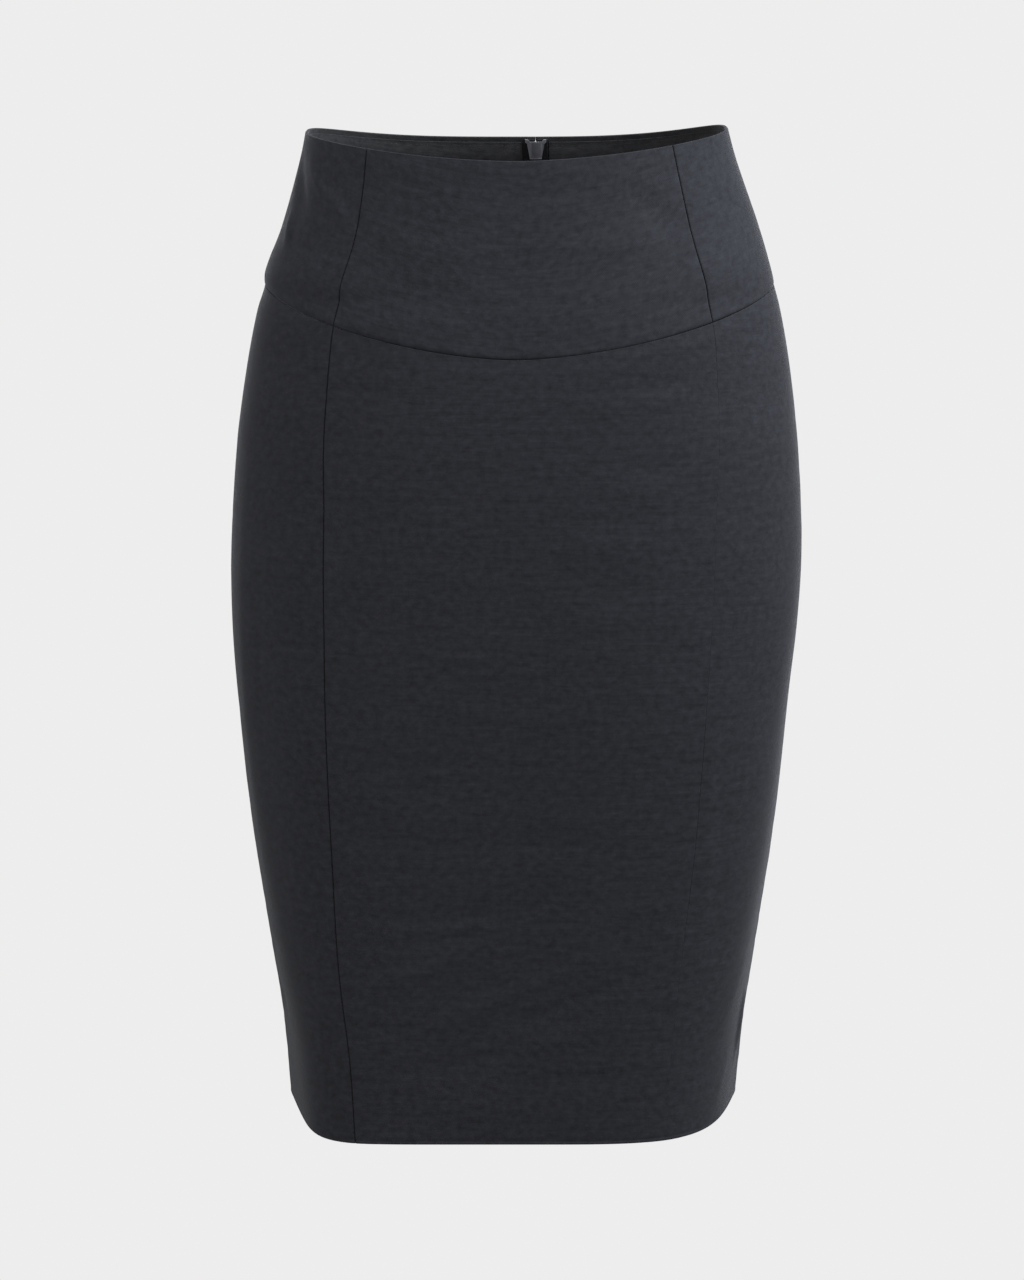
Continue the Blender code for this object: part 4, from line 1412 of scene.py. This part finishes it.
def make_slider():
    """Two plates with rims between them, a post in the mouth, and the arch for the tab."""
    shape = bmesh.new()
    inner_face = -HINGE_RISE - SLIDER_DEPTH - SLIDER_THICKNESS
    outer_face = inner_face + SLIDER_THICKNESS
    half_side, half_tail = SLIDER_SIDE_WIDTH / 2, SLIDER_TAIL_WIDTH / 2
    plate = slider_outline(0.0, INNER_TOP_EDGE)
    add_plate(shape, plate, SLIDER_THIN_PLATE, OUTWARD, inner_face)
    crown(shape, half_side, SLIDER_CROWN)
    plate = slider_outline(OUTER_INSET, OUTER_TOP_EDGE)
    add_plate(shape, plate, SLIDER_PLATE, OUTWARD, outer_face - SLIDER_PLATE)

    low, depth = inner_face + RIM_SUNK, SLIDER_THICKNESS - SLIDER_PLATE
    bottom = -SLIDER_BELOW + OUTER_INSET
    for sign in (-1, 1):
        rim = upright(
            (sign * (half_tail - RIM_INSET), bottom),
            (sign * (half_tail - RIM_INSET), SLIDER_WAIST),
            (sign * (half_side - RIM_INSET), SLIDER_SIDE),
            (sign * (half_side - FLANGE), SLIDER_SIDE),
            (sign * (half_tail - FLANGE), SLIDER_WAIST + RIM_STEP),
            (sign * (half_tail - FLANGE), bottom),
        )
        add_plate(shape, rounded_outline(rim, RIM_CORNER, 2), depth, OUTWARD, low)
    half_post, widest = POST_WIDTH / 2, SLIDER_ABOVE - POST_WIDEST
    post = upright(
        (0, SLIDER_ABOVE - SLIDER_NOTCH - POST_GAP), (half_post, widest),
        (0, SLIDER_ABOVE - POST_LENGTH), (-half_post, widest),
    )
    add_plate(shape, rounded_outline(post, POST_CORNER, 3), depth, OUTWARD, low)

    root = outer_face - SLIDER_PLATE / 2
    arc = np.linspace(0, math.pi, ARC_POINTS)
    neck = [(ARCH_RADIUS * math.sin(a), ARCH_RADIUS * math.cos(a)) for a in arc]
    neck += [(root, -ARCH_RADIUS), (root, ARCH_RADIUS)]
    rise, half_width = ARCH_HOLE_RISE, ARCH_HOLE_HALF_WIDTH
    hole = [(-rise, -half_width), (rise, -half_width), (rise, half_width), (-rise, half_width)]
    neck, hole = ([Vector((0, out, up)) for out, up in places] for places in (neck, hole))
    hole = rounded_outline(hole, ARCH_HOLE_CORNER, 4)
    add_plate(shape, neck, NECK_WIDTH, ACROSS, -NECK_WIDTH / 2, [hole])
    slider = finish_plates("zip_slider_metal", shape, SLIDER_BEVEL)
    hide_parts("zip_slider")
    return finish_piece(slider, metal)


def make_tab():
    """The pull tab, with a raised border round both its faces."""
    half_neck, half_width, half_bar = TAB_NECK_WIDTH / 2, TAB_WIDTH / 2, TAB_BAR / 2
    end_centre = Vector((0, 0, half_width - TAB_LENGTH))
    head = upright(
        (-half_neck, half_bar), (half_neck, half_bar),
        (half_width, end_centre.z), (-half_width, end_centre.z),
    )
    head = rounded_outline(head, TAB_CORNER)
    outline = head[: len(head) // 2] + [
        end_centre + Vector((half_width * math.cos(a), 0, -half_width * math.sin(a)))
        for a in np.linspace(0, math.pi, TAB_END_POINTS)
    ]
    half_window, window_end = TAB_WINDOW_WIDTH / 2, -half_bar - TAB_WINDOW_LENGTH
    window = upright(
        (-half_window, -half_bar), (half_window, -half_bar),
        (half_window, window_end), (-half_window, window_end),
    )
    window = rounded_outline(window, TAB_WINDOW_CORNER, 4)
    shape = bmesh.new()
    sides = add_plate(shape, outline, TAB_THICKNESS, OUTWARD, -TAB_THICKNESS / 2, [window])
    bmesh.ops.recalc_face_normals(shape, faces=list(shape.faces))
    for faces in sides:
        for width, depth in ((TAB_RIM, 0.0), (TAB_SUNK, -TAB_SUNK)):
            bmesh.ops.inset_region(
                shape, faces=faces, thickness=width, depth=depth, use_even_offset=True
            )
    tab = finish_plates("zip_pull_tab_metal", shape, TAB_BEVEL)
    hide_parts("zip_pull_tab")
    return finish_piece(tab, metal, "pull_tab")


make_slider()
make_tab()

# ---------------------------------------------------------------- floor, light and camera

PHOTO_HEIGHT_PX = 1280
FOCAL_PX = 3691.1
SENSOR = 36.0
CAMERA_PLACE = Vector((-0.00122, -2.2, 0.19))
CAMERA_TARGET = Vector((-0.00122, 0.0, -0.293))
VIEW_END = 100.0

BACKDROP_GREY = (0.847, 0.847, 0.847, 1.0)
FLOOR_HEIGHT = -1.05    # where the wearer would stand
FLOOR_RADIUS = 7.0
FLOOR_SIDES = 96
COVE_RADIUS = 2.0
COVE_STEPS = 12
WALL_HEIGHT = 6.0


def make_stage():
    """A pale floor that curves up into a wall all round."""
    profile = [(0.0, FLOOR_HEIGHT), (FLOOR_RADIUS, FLOOR_HEIGHT)]
    for step in range(1, COVE_STEPS + 1):
        turn = 0.5 * math.pi * step / COVE_STEPS
        away = FLOOR_RADIUS + COVE_RADIUS * math.sin(turn)
        profile.append((away, FLOOR_HEIGHT + COVE_RADIUS * (1 - math.cos(turn))))
    profile.append((FLOOR_RADIUS + COVE_RADIUS, FLOOR_HEIGHT + WALL_HEIGHT))
    turns = [FULL_TURN * side / FLOOR_SIDES for side in range(FLOOR_SIDES)]
    points = [
        (away * math.cos(turn), away * math.sin(turn), height)
        for away, height in profile for turn in turns
    ]
    floor = build_mesh("floor", points, ring_faces(len(profile), FLOOR_SIDES))
    floor.data.shade_smooth()
    material, nodes = new_material("floor_paper")
    nodes.set(
        Base_Color=(0.0, 0.0, 0.0, 1.0),
        Specular_IOR_Level=0.0,
        Roughness=1.0,
        Emission_Color=BACKDROP_GREY,
        Emission_Strength=1.0,
    )
    floor.data.materials.append(material)


def aim(thing, place, target):
    thing.location = place
    direction = Vector(target) - thing.location
    thing.rotation_euler = direction.to_track_quat("-Z", "Y").to_euler()


LAMP_TARGET = (0.0, 0.0, -0.25)
Lamp = namedtuple("Lamp", "name place width height watts colour")
LAMPS = table(
    Lamp,
    ("key", (1.15, -0.35, 1.75), 0.9, 0.9, 162, (0.94, 0.98, 1.07)),
    ("fill", (-1.7, -0.9, 1.2), 1.2, 1.2, 27, (0.96, 0.98, 1.06)),
    ("rim_left", (-0.85, 1.95, 0.10), 0.9, 1.4, 15, (0.96, 0.98, 1.06)),
    ("rim_right", (0.70, 2.04, -0.35), 0.9, 1.4, 22, (0.96, 0.98, 1.06)),
)


def make_lights():
    for lamp in LAMPS:
        light = bpy.data.lights.new(lamp.name, "AREA")
        light.shape = "RECTANGLE"
        light.size = lamp.width
        light.size_y = lamp.height
        light.energy = lamp.watts
        light.color = lamp.colour
        thing = add_object(lamp.name, light)
        aim(thing, lamp.place, LAMP_TARGET)
        thing.visible_camera = False
    world = bpy.data.worlds.new("studio")
    world.use_nodes = True
    background = world.node_tree.nodes["Background"]
    background.inputs["Color"].default_value = BACKDROP_GREY
    background.inputs["Strength"].default_value = 1.0
    bpy.context.scene.world = world


def make_camera():
    camera = bpy.data.cameras.new("camera")
    camera.sensor_width = SENSOR
    camera.lens = FOCAL_PX / PHOTO_HEIGHT_PX * SENSOR
    camera.clip_end = VIEW_END
    thing = add_object("camera", camera)
    aim(thing, CAMERA_PLACE, CAMERA_TARGET)
    bpy.context.scene.camera = thing
    bpy.context.scene.view_settings.view_transform = "Standard"


make_stage()
make_lights()
make_camera()
